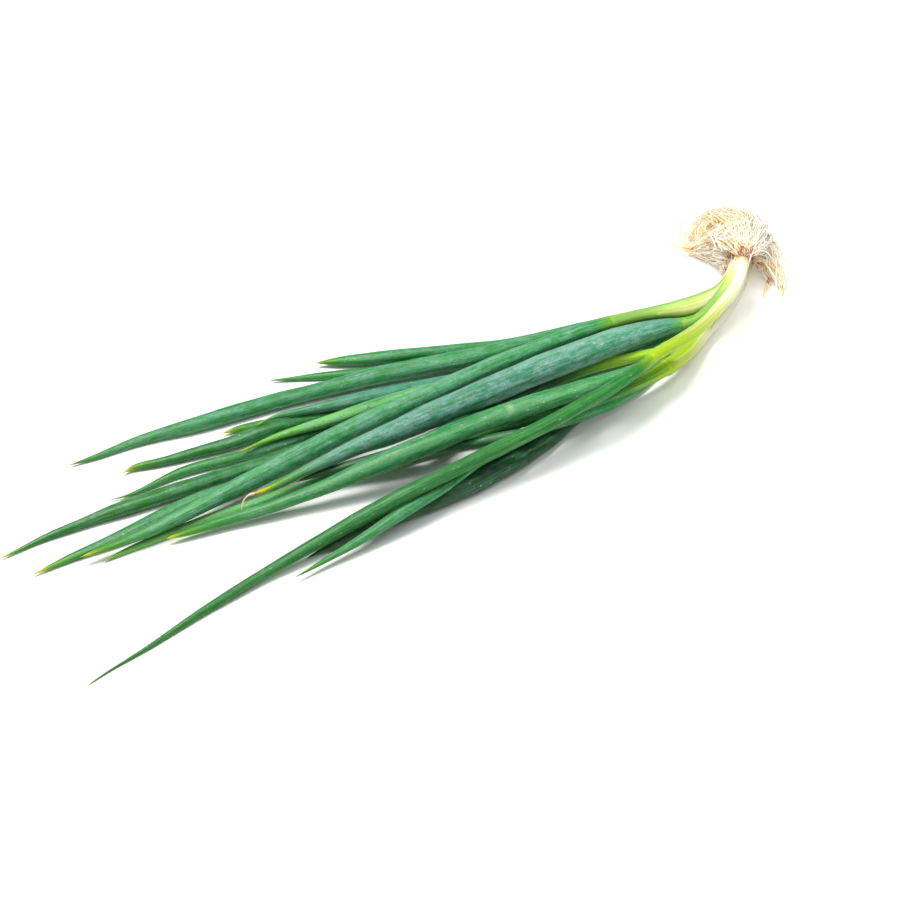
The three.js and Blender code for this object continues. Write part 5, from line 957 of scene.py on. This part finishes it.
    # single white rootlets and the pointed end of a sheath that stand out on top
    for k, (plant, pts) in enumerate(STRAYS):
        line, t = centre_line(pts, 0.8, 2.2)
        line[:, :3] += 0.35 * np.stack([wave(11 + k * 5 + c, t, 16, 2) for c in range(3)], 1) * step01(t, 0, 5)[:, None]
        line[:, :3] = np.minimum(np.maximum(line[:, :3], ROOT_LO), ROOT_HI)
        tube(made[plant], line, 8, lambda S, P: (np.ones_like(P), np.zeros_like(P)),
             lambda S, P: (np.broadcast_to(pale, S.shape + (3,)), np.zeros_like(S)), seed=k)
    # knots of brown scales
    for li, (plant, at0, size, count) in enumerate(KNOTS):
        for k in range(count):
            r = np.random.default_rng(170000 + li * 100 + k)
            at = np.array(at0) + r.normal(0, 0.5, 3) * size
            way = r.normal(0, 1, 3)
            way /= np.linalg.norm(way)
            u = np.linspace(0, 1, 6)[:, None]
            p = at + way * u * r.uniform(0.8, 3.0) + r.normal(0, 1, 3) * u**2 * 0.6
            w = r.uniform(0.20, 0.46) * (1 - 0.6 * u[:, 0])
            p[:, 2] = np.maximum(p[:, 2], lowest + w)
            p = np.minimum(np.maximum(p, ROOT_LO), ROOT_HI)
            c = srgb(150, 92, 48) * r.uniform(0.5, 1.9)
            tube(made[plant], np.column_stack([p, w]), 5, lambda S, P: (np.ones_like(P), np.zeros_like(P)),
                 lambda S, P, c=c: (np.broadcast_to(c, S.shape + (3,)), np.zeros_like(S)), seed=k)
    return made


ROOT_LO = np.array([216.1, -41.6, 0.4])
ROOT_HI = np.array([282.3, 55.0, 36.8])
ROOT_HI[2] -= 0.75
for plant, piece in rootlets().items():
    o = piece.build("roots_" + plant + "_tuft", MAT["roots"])
    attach(o, "root")
    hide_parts("roots_" + plant)

# ---------------------------------------------------------------- floor, light, camera
floor_mesh = bpy.data.meshes.new("floor")
floor_mesh.from_pydata([(-6, -6, 0), (6, -6, 0), (6, 6, 0), (-6, 6, 0)], [], [(0, 1, 2, 3)])
floor = bpy.data.objects.new("floor", floor_mesh)
bpy.context.scene.collection.objects.link(floor)
fm, fnt, fb = new_material("pale_floor")
fb.inputs["Base Color"].default_value = (0.93, 0.93, 0.925, 1)
fb.inputs["Roughness"].default_value = 0.7
floor_mesh.materials.append(fm)

world = bpy.data.worlds.new("studio")
bpy.context.scene.world = world
world.use_nodes = True
world.node_tree.nodes["Background"].inputs[0].default_value = (0.97, 0.975, 1.0, 1)
world.node_tree.nodes["Background"].inputs[1].default_value = 0.26

look = Vector(LOOK).normalized()
up = Vector(CAM_UP).normalized()
right = look.cross(up).normalized()
ground_away = Vector((look.x, look.y, 0)).normalized()


def area(name, at, size, power, colour, aim=Vector((0, 0, 0.01))):
    lamp = bpy.data.lights.new(name, "AREA")
    lamp.shape = "RECTANGLE"
    lamp.size, lamp.size_y = size
    lamp.energy = power
    lamp.color = colour
    o = bpy.data.objects.new(name, lamp)
    bpy.context.scene.collection.objects.link(o)
    o.location = at
    o.rotation_mode = "QUATERNION"
    o.rotation_quaternion = (aim - Vector(at)).to_track_quat("-Z", "Y")
    return o


area("key", ground_away * 0.16 - right * 0.30 + Vector((0, 0, 1.35)), (0.65, 0.55), 22.0, (1.0, 0.985, 0.96))
area("top", Vector((0.05, 0.0, 1.5)) + right * 0.4 - ground_away * 0.2, (1.0, 1.0), 7.0, (0.95, 0.98, 1.0))
area("fill", -ground_away * 1.2 + right * 0.9 + Vector((0, 0, 0.8)), (1.2, 0.9), 2.0, (1.0, 0.98, 0.95))

# the root end is lit more strongly
lamp = bpy.data.lights.new("root_light", "SPOT")
lamp.energy, lamp.spot_size, lamp.spot_blend, lamp.shadow_soft_size = 4.0, math.radians(18), 1.0, 0.12
lamp.color = (1.0, 0.985, 0.95)
o = bpy.data.objects.new("root_light", lamp)
bpy.context.scene.collection.objects.link(o)
o.location = Vector((0.235, 0.0, 1.25)) - ground_away * 0.25
o.rotation_mode = "QUATERNION"
o.rotation_quaternion = (Vector((0.235, 0.0, 0.012)) - o.location).to_track_quat("-Z", "Y")
lamp2 = lamp.copy()
lamp2.energy, lamp2.spot_size, lamp2.shadow_soft_size = 50.0, math.radians(12), 0.08
lamp2.color = (1.0, 0.955, 0.87)
o = bpy.data.objects.new("root_fill", lamp2)
bpy.context.scene.collection.objects.link(o)
o.location = Vector((0.235, 0.0, 0.75)) - ground_away * 1.3 - right * 0.2
o.rotation_mode = "QUATERNION"
o.rotation_quaternion = (Vector((0.250, 0.006, 0.012)) - o.location).to_track_quat("-Z", "Y")

cam = bpy.data.cameras.new("view")
cam.sensor_width = 36.0
cam.sensor_fit = "HORIZONTAL"
cam.lens = 2721.5 / 900 * 36.0
cam.clip_start, cam.clip_end = 0.05, 20
co = bpy.data.objects.new("view", cam)
bpy.context.scene.collection.objects.link(co)
m = Matrix((right, up, -look)).transposed().to_4x4()
m.translation = Vector(CAMERA) * MM
co.matrix_world = m
bpy.context.scene.camera = co
bpy.context.scene.view_settings.view_transform = "Standard"
bpy.context.scene.view_settings.look = "None"
